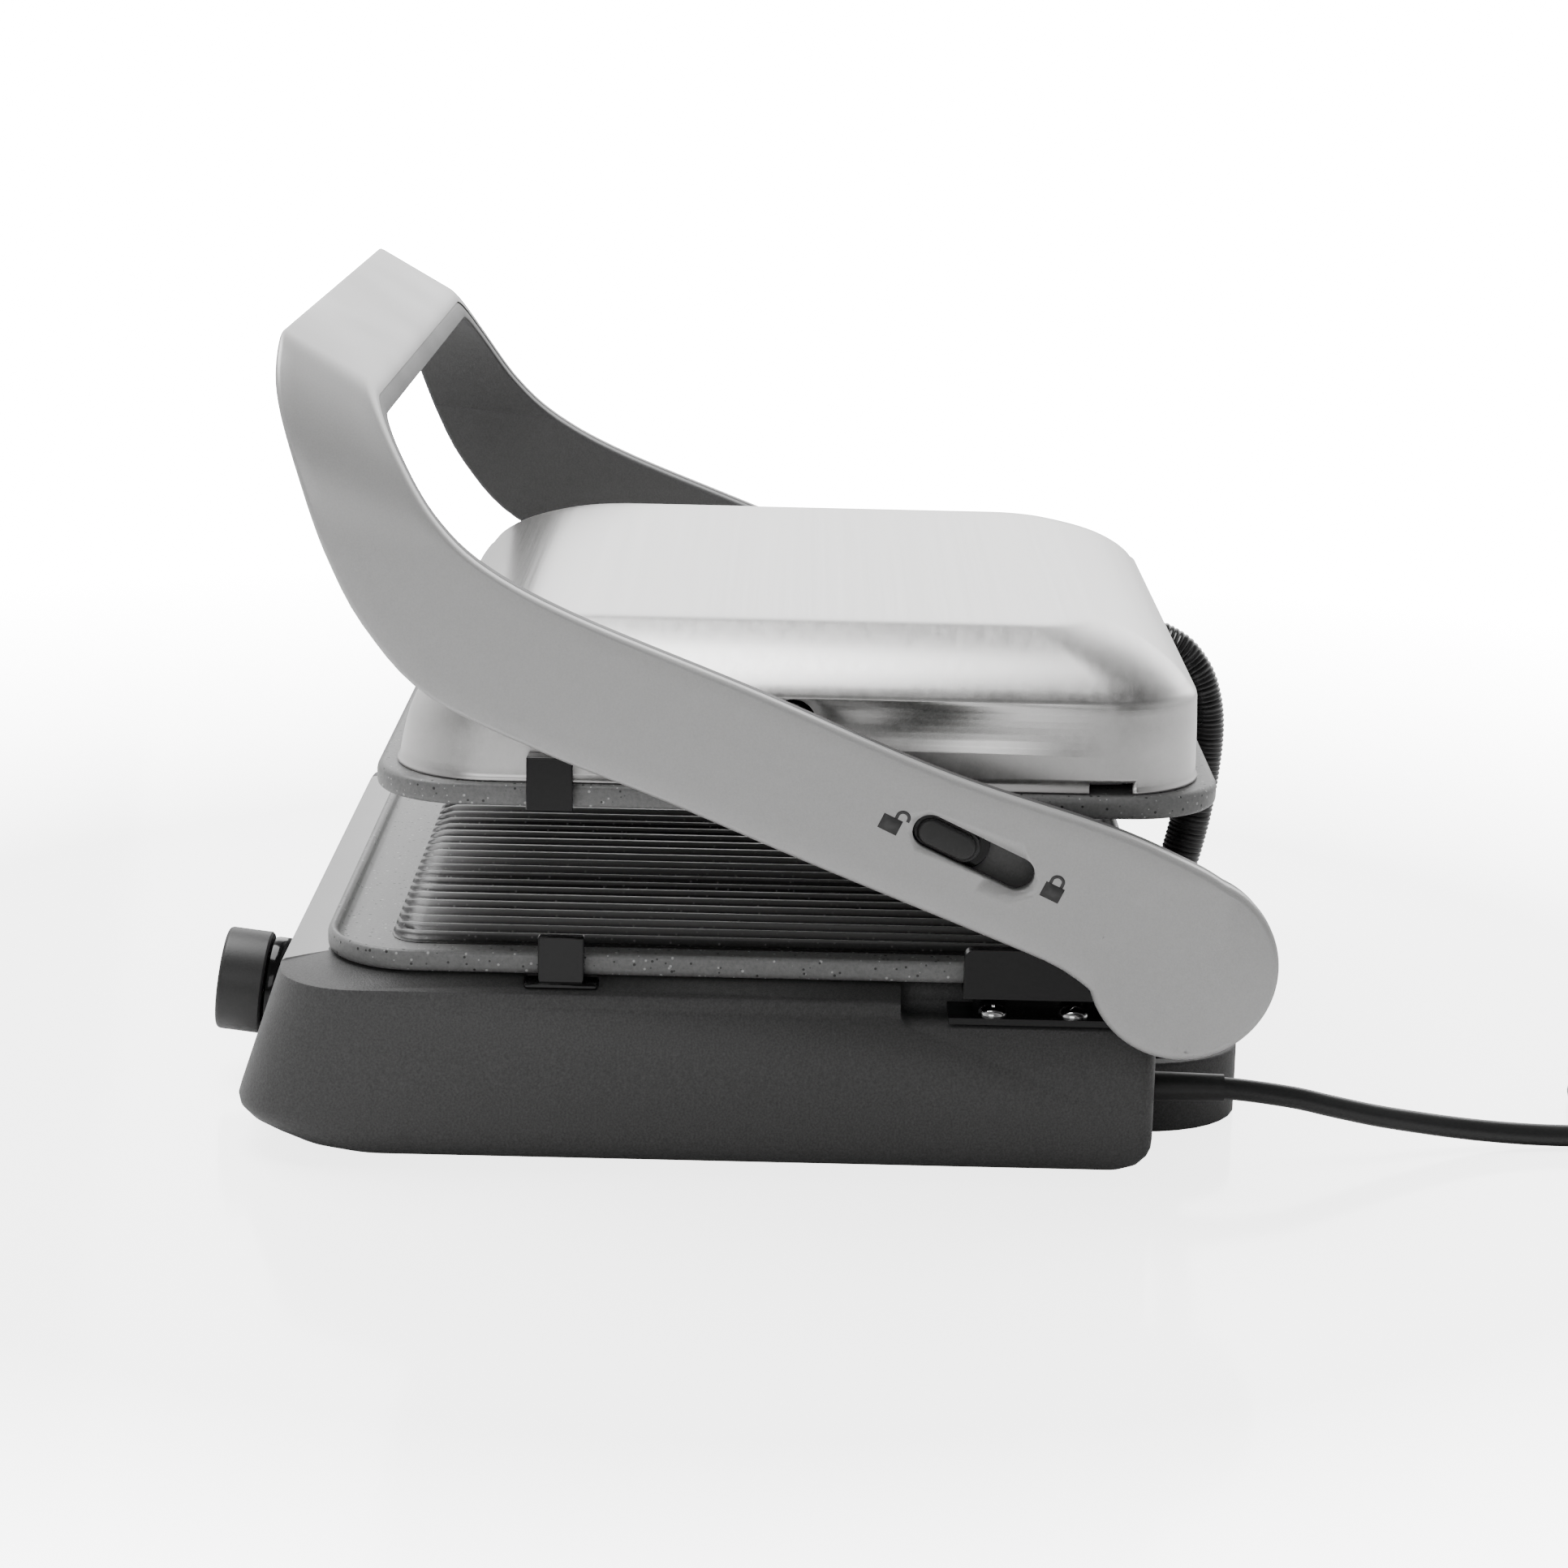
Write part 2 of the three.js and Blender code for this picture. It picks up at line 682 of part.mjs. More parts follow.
const yokeBand = skin(acrossGrip(strap([...armStations, ...shoulderStations], 0, armShell)));
const shellIn = armOuter - armShell;
const slotCut = pill(slotLength, slotWidth, 0, shellIn - 2, armOuter + 2);
const yoke = cut(
  join(yokeBand, hubDisc(shellIn, armOuter), hubDisc(-armOuter, -shellIn)),
  slotCut,
);
add("handle_yoke", "silver", yoke);

const linerDepth = armShell + linerGap;
const armLiner = join(
  skin(strap(armStations, linerDepth, armThickness)),
  hubDisc(armInner, linerOuter),
);
const pinHole = (x0, x1) => bar("x", pinRadius + running, x0, x1, [0, hingeHeight]);
const lidPinSocket = bar("x", lidPinRadius + gap, armInner - 1, armInner + 4, [lidPinY, lidPinZ]);
const boltPocket = pill(slotLength + 8, slotWidth + 6, 0, armInner + 3.5, armOuter);
const plainLiner = cut(armLiner, pinHole(armInner - 1, armInner + 5.5), lidPinSocket);
add("arm_liner_right", "liner", cut(plainLiner, boltPocket));
add("arm_liner_left", "liner", mirrored(plainLiner));
const seam = 1 + (2 / Math.PI) * (gap / shoulderDrop);
const gripBand = strap([seam, ...shoulderStations], linerDepth, armThickness);
add("grip_liner", "liner", skin(acrossGrip(gripBand)));

// ---- Lock slider in the right arm ---------------------------------------------------------
const lockEnd = slotLength / 2 - buttonLength / 2 - gap;
const buttonBase = pill(buttonLength, slotWidth - 0.7, -lockEnd, shellIn - 0.3, armOuter - 2.2);
const buttonTop = pill(buttonLength - 2.8, slotWidth - 2.4, -lockEnd, armOuter - 2.5, armOuter);
add("lock_button", "charcoal", join(buttonBase, buttonTop));
const boltX = armInner + 3.5 + gap;
const bolt = pill(buttonLength + 6, slotWidth + 4, -lockEnd, boltX, shellIn - 0.7);
add("lock_bolt", "black", bolt);

// ---- Hinge: brackets, screws and pins -----------------------------------------------------
function hingeBracket() {
  const leaf = new THREE.Shape();
  leaf.moveTo(-12, 58.2);
  leaf.lineTo(-12, 73.8);
  leaf.lineTo(-60.6, 73.8);
  leaf.absarc(-60.6, 70.8, 3, Math.PI / 2, Math.PI, false);
  leaf.lineTo(-63.6, 58.2);
  const parts = [
    slabAlongX(leaf, bracketInner, bracketOuter),
    bar("x", 18, bracketInner, bracketOuter, [0, hingeHeight], 36),
    block([plateHalf - 7, bracketOuter], [-63.6, -8], [58.2, lowerPlateZ - 0.7]),
    block([plateHalf - 7, plateHalf - 4.5], [-60, -8], [recessFloor + 1, 59]),
    block(
      [plateHalf - 9, baseHalf - 0.7],
      [-68, -10],
      [recessFloor + gap, recessFloor + gap + bracketFoot],
    ),
  ];
  const holes = screwY.map((y) => bar("z", screwHole + 0.4, 40, 60, [screwX, y], 16));
  return cut(join(...parts), ...holes, pinHole(bracketInner - 2, bracketOuter + 2));
}
const bracket = hingeBracket();
add("hinge_bracket_right", "black", bracket);
add("hinge_bracket_left", "black", mirrored(bracket));

function panHeadScrew() {
  const head = 4.7;
  const profile = [
    new THREE.Vector2(0, -8),
    new THREE.Vector2(screwHole, -8),
    new THREE.Vector2(screwHole, 0),
    new THREE.Vector2(head, 0),
  ];
  for (let i = 1; i <= 6; i++) {
    const angle = (i / 6) * (Math.PI / 2);
    profile.push(new THREE.Vector2(head * Math.cos(angle), 3.1 * Math.sin(angle)));
  }
  profile[profile.length - 1].x = 0;
  const body = new THREE.LatheGeometry(profile, 24).rotateX(Math.PI / 2);
  const slot = 0.55;
  const cross = [
    block([-3, 3], [-slot, slot], [2, 5]),
    block([-slot, slot], [-3, 3], [2, 5]),
  ];
  return cut(body, ...cross);
}
const screw = panHeadScrew();
for (const [place, side] of [["right", 1], ["left", -1]]) {
  screwY.forEach((y, i) => {
    const mesh = add(`bracket_screw_${place}_${i + 1}`, "chrome", screw);
    mesh.position.set(side * screwX, y, recessFloor + bracketFoot + 2 * gap);
  });
}
const hingePin = join(
  bar("x", pinRadius, bracketInner + 0.2, armInner + 5, [0, hingeHeight]),
  bar("x", 9, bracketOuter + 0.4, armInner - 0.4, [0, hingeHeight]),
);
add("hinge_pin_right", "chrome", hingePin);
add("hinge_pin_left", "chrome", mirrored(hingePin));
const lidPin = bar("x", lidPinRadius, frameHalf - 12, armInner + 3.5, [lidPinY, lidPinZ]);
add("lid_pin_right", "chrome", lidPin);
add("lid_pin_left", "chrome", mirrored(lidPin));

// ---- Plate clips --------------------------------------------------------------------------
function clip(y, z, lipZ, foot) {
  const half = clipWidth / 2;
  const x1 = clipX + clipThickness;
  const face = block([clipX, x1], [y - half, y + half], z);
  const lip = block([plateHalf - 1.4, clipX + 0.5], [y - half + 1, y + half - 1], lipZ);
  const base = block([foot[0], x1], [y - half, y + half], [foot[1], foot[2]]);
  return join(face, lip, base);
}
const lowerClip = clip(
  lowerClipY,
  [clipFootZ, lowerRimZ + 6],
  [lowerLipZ, lowerLipZ + lipHeight],
  [clipX, clipFootZ, clipFootZ + 2.5],
);
const upperClip = clip(
  upperClipY,
  [upperPlateZ - 0.3, skirtZ + 9.2],
  [upperLipZ, upperLipZ + lipHeight],
  [lidHalf + 0.8, skirtZ + 2, skirtZ + 9.2],
);
add("clip_lower_right", "black", lowerClip);
add("clip_lower_left", "black", mirrored(lowerClip));
add("clip_upper_right", "black", upperClip);
add("clip_upper_left", "black", mirrored(upperClip));

// ---- Cord posts, strain relief, cord, coil and plug ---------------------------------------
const postX = 75.5;
const postRadius = 28.3;
function cordPost(side) {
  const d = (radius) => {
    const shape = new THREE.Shape();
    shape.absarc(side * postX, baseRear + gap, radius, 0, Math.PI, false);
    return shape;
  };
  const body = slabAlongZ(d(postRadius), 0.8, 24);
  const pocket = slabAlongZ(d(postRadius - 6.5), 6, 30).translate(0, 3, 0);
  return cut(body, pocket);
}
add("cord_post_right", "charcoal", cordPost(1));
add("cord_post_left", "charcoal", cordPost(-1));

const reliefLength = 32;
const reliefRadius = cordDiameter / 2 + 1.9;
const reliefProfile = [
  [0, 0],
  [reliefRadius, 0],
  [reliefRadius, 8],
  [cordDiameter / 2 + 0.8, reliefLength],
  [0, reliefLength],
].map(([r, y]) => new THREE.Vector2(r, y));
add("strain_relief", "rubber", new THREE.LatheGeometry(reliefProfile, 16)).position.set(
  cordX,
  baseRear - 8,
  cordZ,
);
const cordStart = baseRear - 8 + reliefLength + 2 * gap;
const coilX = 68.5;
const coilY = 187;
const coilRadius = 37.5;
const coilHalf = cordDiameter + 0.5;
const onTable = cordDiameter / 2 + 0.3;
const leadRoute = [
  [cordX, cordStart, cordZ],
  [cordX - 0.6, cordStart + 9, 22.9],
  [cordX - 2.2, 44, 20.4],
  [cordX - 4.6, 56, 17.1],
  [cordX - 8, 70, 13.3],
  [cordX - 12, 84, 10],
  [cordX - 15.5, 98, 7.2],
  [cordX - 18, 112, 5.2],
  [cordX - 19.4, 126, 4.1],
  [cordX - 20, 138, onTable],
  [cordX - 20, 150, onTable],
  [cordX - 20, coilY - 30, onTable],
];
const lead = new THREE.CatmullRomCurve3(leadRoute.map((p) => new THREE.Vector3(...p)));
add("power_cord", "rubber", pipe(lead, cordDiameter / 2, 30, 8));
const ring = [
  [coilRadius - coilHalf, 0.3],
  [coilRadius + coilHalf, 0.3],
  [coilRadius + coilHalf, 2 * cordDiameter + 0.6],
  [coilRadius - coilHalf, 2 * cordDiameter + 0.6],
  [coilRadius - coilHalf, 0.3],
].map(([r, z]) => new THREE.Vector2(r, z));
const coil = add("cord_coil", "rubber", new THREE.LatheGeometry(ring, 40).rotateX(Math.PI / 2));
coil.position.set(coilX, coilY, 0);

const plugRadius = 18.5;
const plugLength = 38;
const plugY = coilY + coilRadius + 14;
const plugX = coilX - 40;
const plugProfile = [
  [0, 0],
  [5, 0],
  [6, 8],
  [14, 16],
  [plugRadius, 22],
  [plugRadius, plugLength],
  [0, plugLength],
].map(([r, y]) => new THREE.Vector2(r, y));
const plug = new THREE.LatheGeometry(plugProfile, 32).rotateZ(Math.PI / 2);
const pinSpread = 9.5;
const pinDiameter = 4.8;
const pinLength = 19;
const plugZ = plugRadius + 0.1;
add("plug_body", "rubber", plug).position.set(plugX, plugY, plugZ);
for (const [i, side] of [-1, 1].entries()) {
  const from = plugX - plugLength - gap - pinLength;
  const centre = [plugY + side * pinSpread, plugZ];
  add(`plug_pin_${i + 1}`, "chrome", bar("x", pinDiameter / 2, from, from + pinLength, centre, 16));
}
const tailRoute = [
  [coilX - 1, coilY + coilRadius + coilHalf + 4.1, 10.5],
  [coilX - 14, plugY - 1.5, 12.5],
  [coilX - 28, plugY - 0.3, 16.5],
  [plugX + 1.2, plugY, plugZ],
];
const tail = new THREE.CatmullRomCurve3(tailRoute.map((p) => new THREE.Vector3(...p)));
add("cord_tail", "rubber", pipe(tail, cordDiameter / 2, 10, 8));

const paniniPress = new THREE.Group();
paniniPress.add(inner);
export default paniniPress;
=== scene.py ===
# %% [markdown]
# # A panini press, piece by piece
# A contact grill is a base with a ribbed plate, a lid with a second plate, and two arms that carry
# the lid between them. The engineering model already says where everything is and how it moves.
# This lesson dresses that frame: each cell makes one piece or one finish.

# %% Load the frame and keep its box
import json
import math

import bmesh
import bpy
import numpy as np
from mathutils import Matrix, Vector


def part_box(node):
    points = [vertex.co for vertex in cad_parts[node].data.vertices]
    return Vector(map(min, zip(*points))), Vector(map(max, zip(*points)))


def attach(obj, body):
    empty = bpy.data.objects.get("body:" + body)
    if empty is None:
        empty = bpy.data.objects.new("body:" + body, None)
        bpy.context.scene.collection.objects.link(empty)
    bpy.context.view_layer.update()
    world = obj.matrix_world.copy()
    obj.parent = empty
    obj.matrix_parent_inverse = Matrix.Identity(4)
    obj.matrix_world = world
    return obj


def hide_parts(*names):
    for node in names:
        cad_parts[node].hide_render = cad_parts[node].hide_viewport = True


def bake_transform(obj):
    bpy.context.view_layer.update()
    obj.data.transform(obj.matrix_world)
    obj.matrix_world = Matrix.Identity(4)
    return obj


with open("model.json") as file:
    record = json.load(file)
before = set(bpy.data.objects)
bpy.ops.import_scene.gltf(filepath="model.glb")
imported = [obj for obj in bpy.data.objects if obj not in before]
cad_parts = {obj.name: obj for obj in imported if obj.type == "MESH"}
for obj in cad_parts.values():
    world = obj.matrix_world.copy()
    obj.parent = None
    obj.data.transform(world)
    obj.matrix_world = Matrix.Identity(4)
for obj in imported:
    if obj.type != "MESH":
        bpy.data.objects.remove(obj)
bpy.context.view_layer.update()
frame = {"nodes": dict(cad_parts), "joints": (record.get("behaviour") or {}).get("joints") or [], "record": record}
MM = 0.001
joints = {joint["name"]: joint for joint in frame["joints"]}
hinge_y, hinge_z = [value / MM for value in joints["open_hinge"]["pos_m"][1:]]
print("hinge axis at Y, Z in millimetres:", round(hinge_y, 2), round(hinge_z, 2))


def node_box(name):
    """Lowest and highest corner of a frame node in millimetres, with Y counted from the hinge."""
    low, high = (np.array(corner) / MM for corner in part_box(name))
    low[1] -= hinge_y
    high[1] -= hinge_y
    return low, high


# %% [markdown]
# ## The camera
# It stands to the right of the press, a little above it, and looks along the hinge. A long lens
# keeps the two arms nearly the same size.

# %% Camera
YAW, PITCH, ROLL = 0.00136, 0.24132, 0.02253  # radians
LENS_MM, SENSOR_MM = 84.11, 36.0
CAMERA_AT = (1225.73, -118.66, 390.0)
look = Vector(
    (-math.cos(YAW) * math.cos(PITCH), -math.sin(YAW) * math.cos(PITCH), -math.sin(PITCH))
)
level = look.cross(Vector((0, 0, 1))).normalized()
upward = level.cross(look)
right = math.cos(ROLL) * level + math.sin(ROLL) * upward
above = math.cos(ROLL) * upward - math.sin(ROLL) * level
camera_data = bpy.data.cameras.new("camera")
camera_data.lens = LENS_MM
camera_data.sensor_width = SENSOR_MM
camera = bpy.data.objects.new("camera", camera_data)
bpy.context.scene.collection.objects.link(camera)
turn = Matrix((right, above, -look)).transposed().to_4x4()
place = Vector((CAMERA_AT[0], CAMERA_AT[1] + hinge_y, CAMERA_AT[2])) * MM
camera.matrix_world = Matrix.Translation(place) @ turn
bpy.context.scene.camera = camera

# %% [markdown]
# ## Surfaces from formulas
# Most pieces here are one of three things: outlines stacked one above the other, a section swept
# along a path, or a profile turned about an axis. Each is a grid of points worked out with numpy.


# %% Mesh helpers
def new_object(name, mesh, smooth_angle=38):
    """Puts a mesh in the scene, smooth where neighbouring faces meet at less than the angle."""
    obj = bpy.data.objects.new(name, mesh)
    bpy.context.scene.collection.objects.link(obj)
    mesh.shade_smooth()
    mesh.set_sharp_from_angle(angle=math.radians(smooth_angle))
    return obj


def from_points(name, points, faces, smooth_angle=38):
    """A mesh object from millimetre points (Y from the hinge) and faces, with normals outwards."""
    place = np.array(points, float)
    place[:, 1] += hinge_y
    mesh = bpy.data.meshes.new(name)
    mesh.from_pydata((place * MM).tolist(), [], faces)
    tidy = bmesh.new()
    tidy.from_mesh(mesh)
    bmesh.ops.remove_doubles(tidy, verts=tidy.verts, dist=1e-7)
    bmesh.ops.recalc_face_normals(tidy, faces=tidy.faces)
    tidy.to_mesh(mesh)
    tidy.free()
    return new_object(name, mesh, smooth_angle)


def grid_faces(rows, columns, wrap_columns=True, wrap_rows=False):
    """Quads between neighbouring points of a rows x columns grid."""
    r = np.arange(rows if wrap_rows else rows - 1)[:, None]
    c = np.arange(columns if wrap_columns else columns - 1)[None, :]
    a = r * columns + c
    b = r * columns + (c + 1) % columns
    d = ((r + 1) % rows) * columns + c
    e = ((r + 1) % rows) * columns + (c + 1) % columns
    return np.stack([a, b, e, d], -1).reshape(-1, 4).tolist()


def rings_mesh(name, rings, closed_loop=False, smooth_angle=38):
    """A closed skin through rings of points; the first and last ring are capped."""
    rings = np.asarray(rings, float)
    rows, columns = rings.shape[:2]
    faces = grid_faces(rows, columns, wrap_rows=closed_loop)
    if not closed_loop:
        faces.append(list(range(columns))[::-1])
        faces.append([(rows - 1) * columns + i for i in range(columns)])
    return from_points(name, rings.reshape(-1, 3), faces, smooth_angle)


def smooth_curve(points, count):
    """A Catmull-Rom curve through the points, `count` samples evenly spread by length."""
    p = np.asarray(points, float)
    p = np.vstack([2 * p[0] - p[1], p, 2 * p[-1] - p[-2]])
    fine = 40
    t = np.linspace(0, 1, fine, endpoint=False)[:, None]
    parts = []
    for a, b, c, d in zip(p[:-3], p[1:-2], p[2:-1], p[3:]):
        parts.append(
            0.5
            * (2 * b + (c - a) * t + (2 * a - 5 * b + 4 * c - d) * t**2 + (3 * b - a - 3 * c + d) * t**3)
        )
    curve = np.vstack([*parts, p[-2][None]])
    length = np.r_[0, np.cumsum(np.linalg.norm(np.diff(curve, axis=0), axis=1))]
    even = np.linspace(0, length[-1], count)
    return np.stack([np.interp(even, length, curve[:, i]) for i in range(p.shape[1])], -1)


def path_frames(path):
    """Two unit normals for every point of a path, carried along it without twisting."""
    tangent = np.gradient(path, axis=0)
    tangent /= np.linalg.norm(tangent, axis=1)[:, None]
    first = np.cross(tangent[0], (1.0, 0, 0))
    if np.linalg.norm(first) < 0.2:
        first = np.cross(tangent[0], (0, 0, 1.0))
    normals = [first / np.linalg.norm(first)]
    for t in tangent[1:]:
        n = normals[-1] - t * np.dot(normals[-1], t)
        normals.append(n / np.linalg.norm(n))
    normals = np.array(normals)
    return normals, np.cross(tangent, normals)


def row_point(point):
    """A millimetre point with Y from the hinge, as a point in metres in the row frame."""
    return tuple((np.array(point) + np.array([0, hinge_y, 0])) * MM)


def tube(name, path, radius, sides=20):
    """A round section swept along a path; radius is a number or one value per point."""
    path = np.asarray(path, float)
    across, up = path_frames(path)
    angle = np.linspace(0, 2 * math.pi, sides, endpoint=False)
    reach = np.broadcast_to(np.asarray(radius, float), (len(path),))[:, None, None]
    around = (
        np.cos(angle)[None, :, None] * across[:, None] + np.sin(angle)[None, :, None] * up[:, None]
    )
    return rings_mesh(name, path[:, None] + reach * around)


def turned(name, profile, centre, axis, sides=64, smooth_angle=38):
    """A profile of (radius, distance) turned about an axis through the centre."""
    axis = np.array(axis, float) / np.linalg.norm(axis)
    side = np.cross(axis, (1.0, 0, 0) if abs(axis[0]) < 0.9 else (0, 1.0, 0))
    side /= np.linalg.norm(side)
    other = np.cross(axis, side)
    profile = np.asarray(profile, float)
    angle = np.linspace(0, 2 * math.pi, sides, endpoint=False)
    spin = np.cos(angle)[:, None] * side + np.sin(angle)[:, None] * other
    rings = profile[:, 0, None, None] * spin[None] + profile[:, 1, None, None] * axis
    return rings_mesh(name, rings + np.array(centre, float), smooth_angle=smooth_angle)


def plan_ring(half, front, rear, front_radius, rear_radius, z, steps=14, middle=0.0):
    """A rounded rectangle in plan: straight sides joined by quarter circles."""
    corners = (
        (half - rear_radius, rear - rear_radius, rear_radius, 0),
        (rear_radius - half, rear - rear_radius, rear_radius, 1),
        (front_radius - half, front + front_radius, front_radius, 2),
        (half - front_radius, front + front_radius, front_radius, 3),
    )
    parts = []
    for x, y, radius, quarter in corners:
        angle = (quarter + np.linspace(0, 1, steps)) * math.pi / 2
        parts.append(np.stack([x + radius * np.cos(angle), y + radius * np.sin(angle)], -1))
    flat = np.vstack(parts)
    flat[:, 0] += middle
    return np.column_stack([flat, np.full(len(flat), z)])


def stack_mesh(name, sections, steps=14, smooth_angle=38):
    """Plan outlines (z, half, front, rear, front radius, rear radius) joined into one skin."""
    rings = [plan_ring(h, f, r, fr, rr, z, steps) for z, h, f, r, fr, rr in sections]
    return rings_mesh(name, rings, smooth_angle=smooth_angle)


def block(name, x, y, z):
    """A box between two limits on each axis, used as a cutting tool."""
    corners = [(a, b, c) for a in x for b in y for c in z]
    faces = [[0, 1, 3, 2], [4, 6, 7, 5], [0, 4, 5, 1], [2, 3, 7, 6], [0, 2, 6, 4], [1, 5, 7, 3]]
    return from_points(name, corners, faces)


def turn_and_place(obj, angle, axis, at):
    """Turns a tool made round the origin and puts it at a point, through its mesh."""
    obj.data.transform(Matrix.Translation((0, -hinge_y * MM, 0)))
    obj.data.transform(Matrix.Rotation(angle, 4, axis))
    obj.data.transform(Matrix.Translation(row_point(at)))


def settle(obj):
    """Applies an object's modifiers by taking the evaluated mesh as its own."""
    depsgraph = bpy.context.evaluated_depsgraph_get()
    mesh = bpy.data.meshes.new_from_object(obj.evaluated_get(depsgraph))
    obj.modifiers.clear()
    obj.data = mesh
    return obj


def carve(obj, *tools, operation="DIFFERENCE"):
    """Cuts tools out of a piece, or joins them on, and throws the tools away."""
    for tool in tools:
        cut = obj.modifiers.new("cut", "BOOLEAN")
        cut.operation = operation
        cut.solver = "EXACT"
        cut.object = tool
        settle(obj)
        bpy.data.objects.remove(tool)
    return obj


def round_edges(obj, width, segments=3, angle=32):
    """Bevels every edge sharper than the angle, width in millimetres."""
    bevel = obj.modifiers.new("rounded edges", "BEVEL")
    bevel.width = width * MM
    bevel.segments = segments
    bevel.limit_method = "ANGLE"
    bevel.angle_limit = math.radians(angle)
    bevel.harden_normals = False
    bevel.use_clamp_overlap = True
    return obj


def copy_of(node, width, name=None, segments=3, angle=32):
    """A merged copy of a frame node with its edges rounded."""
    source = frame["nodes"][node]
    mesh = source.data.copy()
    tidy = bmesh.new()
    tidy.from_mesh(mesh)
    bmesh.ops.remove_doubles(tidy, verts=tidy.verts, dist=1e-6)
    flat = math.radians(1)
    bmesh.ops.dissolve_limit(tidy, angle_limit=flat, verts=tidy.verts, edges=tidy.edges)
    tidy.to_mesh(mesh)
    tidy.free()
    mesh.materials.clear()
    if "custom_normal" in mesh.attributes:
        mesh.attributes.remove(mesh.attributes["custom_normal"])
    obj = new_object(name or node + "_finished", mesh)
    round_edges(obj, width, segments, angle)
    return obj


node_body = {n: b for b, ns in frame["record"]["behaviour"]["bodies"].items() for n in ns}


def install(obj, material, *nodes, body=None):
    """Gives a piece its finish, lets it ride on its nodes' body and stand for those nodes."""
    obj.data.materials.clear()
    obj.data.materials.append(material)
    if nodes:
        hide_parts(*nodes)
    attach(obj, body or node_body[nodes[0]])
    return obj

# %% [markdown]
# ## Finishes
# Each finish is a small node tree. The coarse part sets the colour and the fine part sets
# roughness and bump, because gloss and grain are what tell plastic from paint and steel.


# %% Material helper
class Finish:
    """A material with its Principled shader and short ways to add noise, ramps and bump."""

    def __init__(self, name, color, rough, metal=0.0, **sockets):
        self.material = bpy.data.materials.new(name)
        self.material.use_nodes = True
        self.nodes = self.material.node_tree.nodes
        self.links = self.material.node_tree.links
        self.shader = self.nodes["Principled BSDF"]
        self.shader.inputs["Base Color"].default_value = (*color, 1)
        self.shader.inputs["Roughness"].default_value = rough
        self.shader.inputs["Metallic"].default_value = metal
        for socket, value in sockets.items():
            self.shader.inputs[socket.replace("_", " ")].default_value = value
        self.place = self.nodes.new("ShaderNodeTexCoord").outputs["Object"]

    def node(self, kind, links=None, **values):
        made = self.nodes.new(kind)
        for key, value in values.items():
            setattr(made, key, value)
        for socket, source in (links or {}).items():
            if hasattr(source, "links"):
                self.links.new(source, made.inputs[socket])
            else:
                made.inputs[socket].default_value = source
        return made

    def stretched(self, scale, source=None):
        mapping = self.node("ShaderNodeMapping", {"Vector": source or self.place, "Scale": scale})
        return mapping.outputs[0]

    def noise(self, scale, detail=3, rough=0.5, place=None):
        links = {"Vector": place or self.place, "Scale": scale, "Detail": detail, "Roughness": rough}
        return self.node("ShaderNodeTexNoise", links).outputs["Fac"]

    def span(self, source, low, high, start=0.0, end=1.0):
        links = {"Value": source, "From Min": start, "From Max": end, "To Min": low, "To Max": high}
        return self.node("ShaderNodeMapRange", links).outputs["Result"]

    def mix(self, factor, a, b):
        made = self.node("ShaderNodeMix", data_type="RGBA")
        for socket, value in zip((0, 6, 7), (factor, a, b)):
            if hasattr(value, "links"):
                self.links.new(value, made.inputs[socket])
            else:
                made.inputs[socket].default_value = value if socket == 0 else (*value, 1)
        return made.outputs[2]

    def set(self, socket, source):
        self.links.new(source, self.shader.inputs[socket])
        return self

    def bump(self, height, distance, strength=1.0):
        """Distance is the relief's height in millimetres."""
        links = {"Height": height, "Distance": distance * MM, "Strength": strength}
        made = self.node("ShaderNodeBump", links)
        old = self.shader.inputs["Normal"].links
        if old:
            self.links.new(old[0].from_socket, made.inputs["Normal"])
        self.links.new(made.outputs["Normal"], self.shader.inputs["Normal"])
        return self


def grey(value, warm=0.0):
    return (value * (1 + warm), value, value * (1 - warm))


# %% [markdown]
# ### Moulded plastic and satin paint
# The base is charcoal plastic with a fine spark-eroded grain: a noise of about a third of a
# millimetre gives tiny bumps and a slightly mottled grey. The arms carry silver paint whose grain
# is finer and lighter.


# %% Plastic and paint
def grained(name, tone, rough, grain_per_metre, relief, mottle, metal=0.0, warm=0.0, **sockets):
    made = Finish(name, grey(tone, warm), rough, metal, **sockets)
    grain = made.noise(grain_per_metre, 4, 0.6)
    soft = made.noise(18, 2)
    tint = made.mix(
        made.span(grain, 0, 1, 0.3, 0.7), grey(tone * (1 - mottle), warm), grey(tone * (1 + mottle), warm)
    )
    made.set("Base Color", tint)
    made.set("Roughness", made.span(soft, rough - 0.05, rough + 0.05, 0.3, 0.7))
    made.bump(grain, relief)
    return made.material


charcoal = grained("charcoal grained plastic", 0.062, 0.50, 1500, 0.12, 0.30)
charcoal.node_tree.nodes["Principled BSDF"].inputs["Specular IOR Level"].default_value = 0.42
knob_plastic = grained("soft dark knob plastic", 0.020, 0.48, 1800, 0.03, 0.12)
liner_plastic = grained("dark grey arm liner", 0.072, 0.5, 1600, 0.05, 0.14)
silver_paint = grained("satin silver paint", 0.46, 0.42, 1900, 0.022, 0.05, metal=0.35, warm=0.004)
panel_paint = grained("silver front panel paint", 0.42, 0.44, 1900, 0.022, 0.06, metal=0.35)
gloss_black = grained("gloss black moulding", 0.004, 0.12, 300, 0.008, 0.10, Specular_IOR_Level=0.28)
bracket_black = grained("black painted bracket steel", 0.005, 0.24, 900, 0.02, 0.15, Specular_IOR_Level=0.25)
rubber = grained("black cord rubber", 0.012, 0.40, 900, 0.03, 0.15)
conduit_black = grained("black conduit polymer", 0.011, 0.30, 700, 0.02, 0.12)
foot_rubber = grained("matte foot rubber", 0.014, 0.75, 1200, 0.04, 0.15)


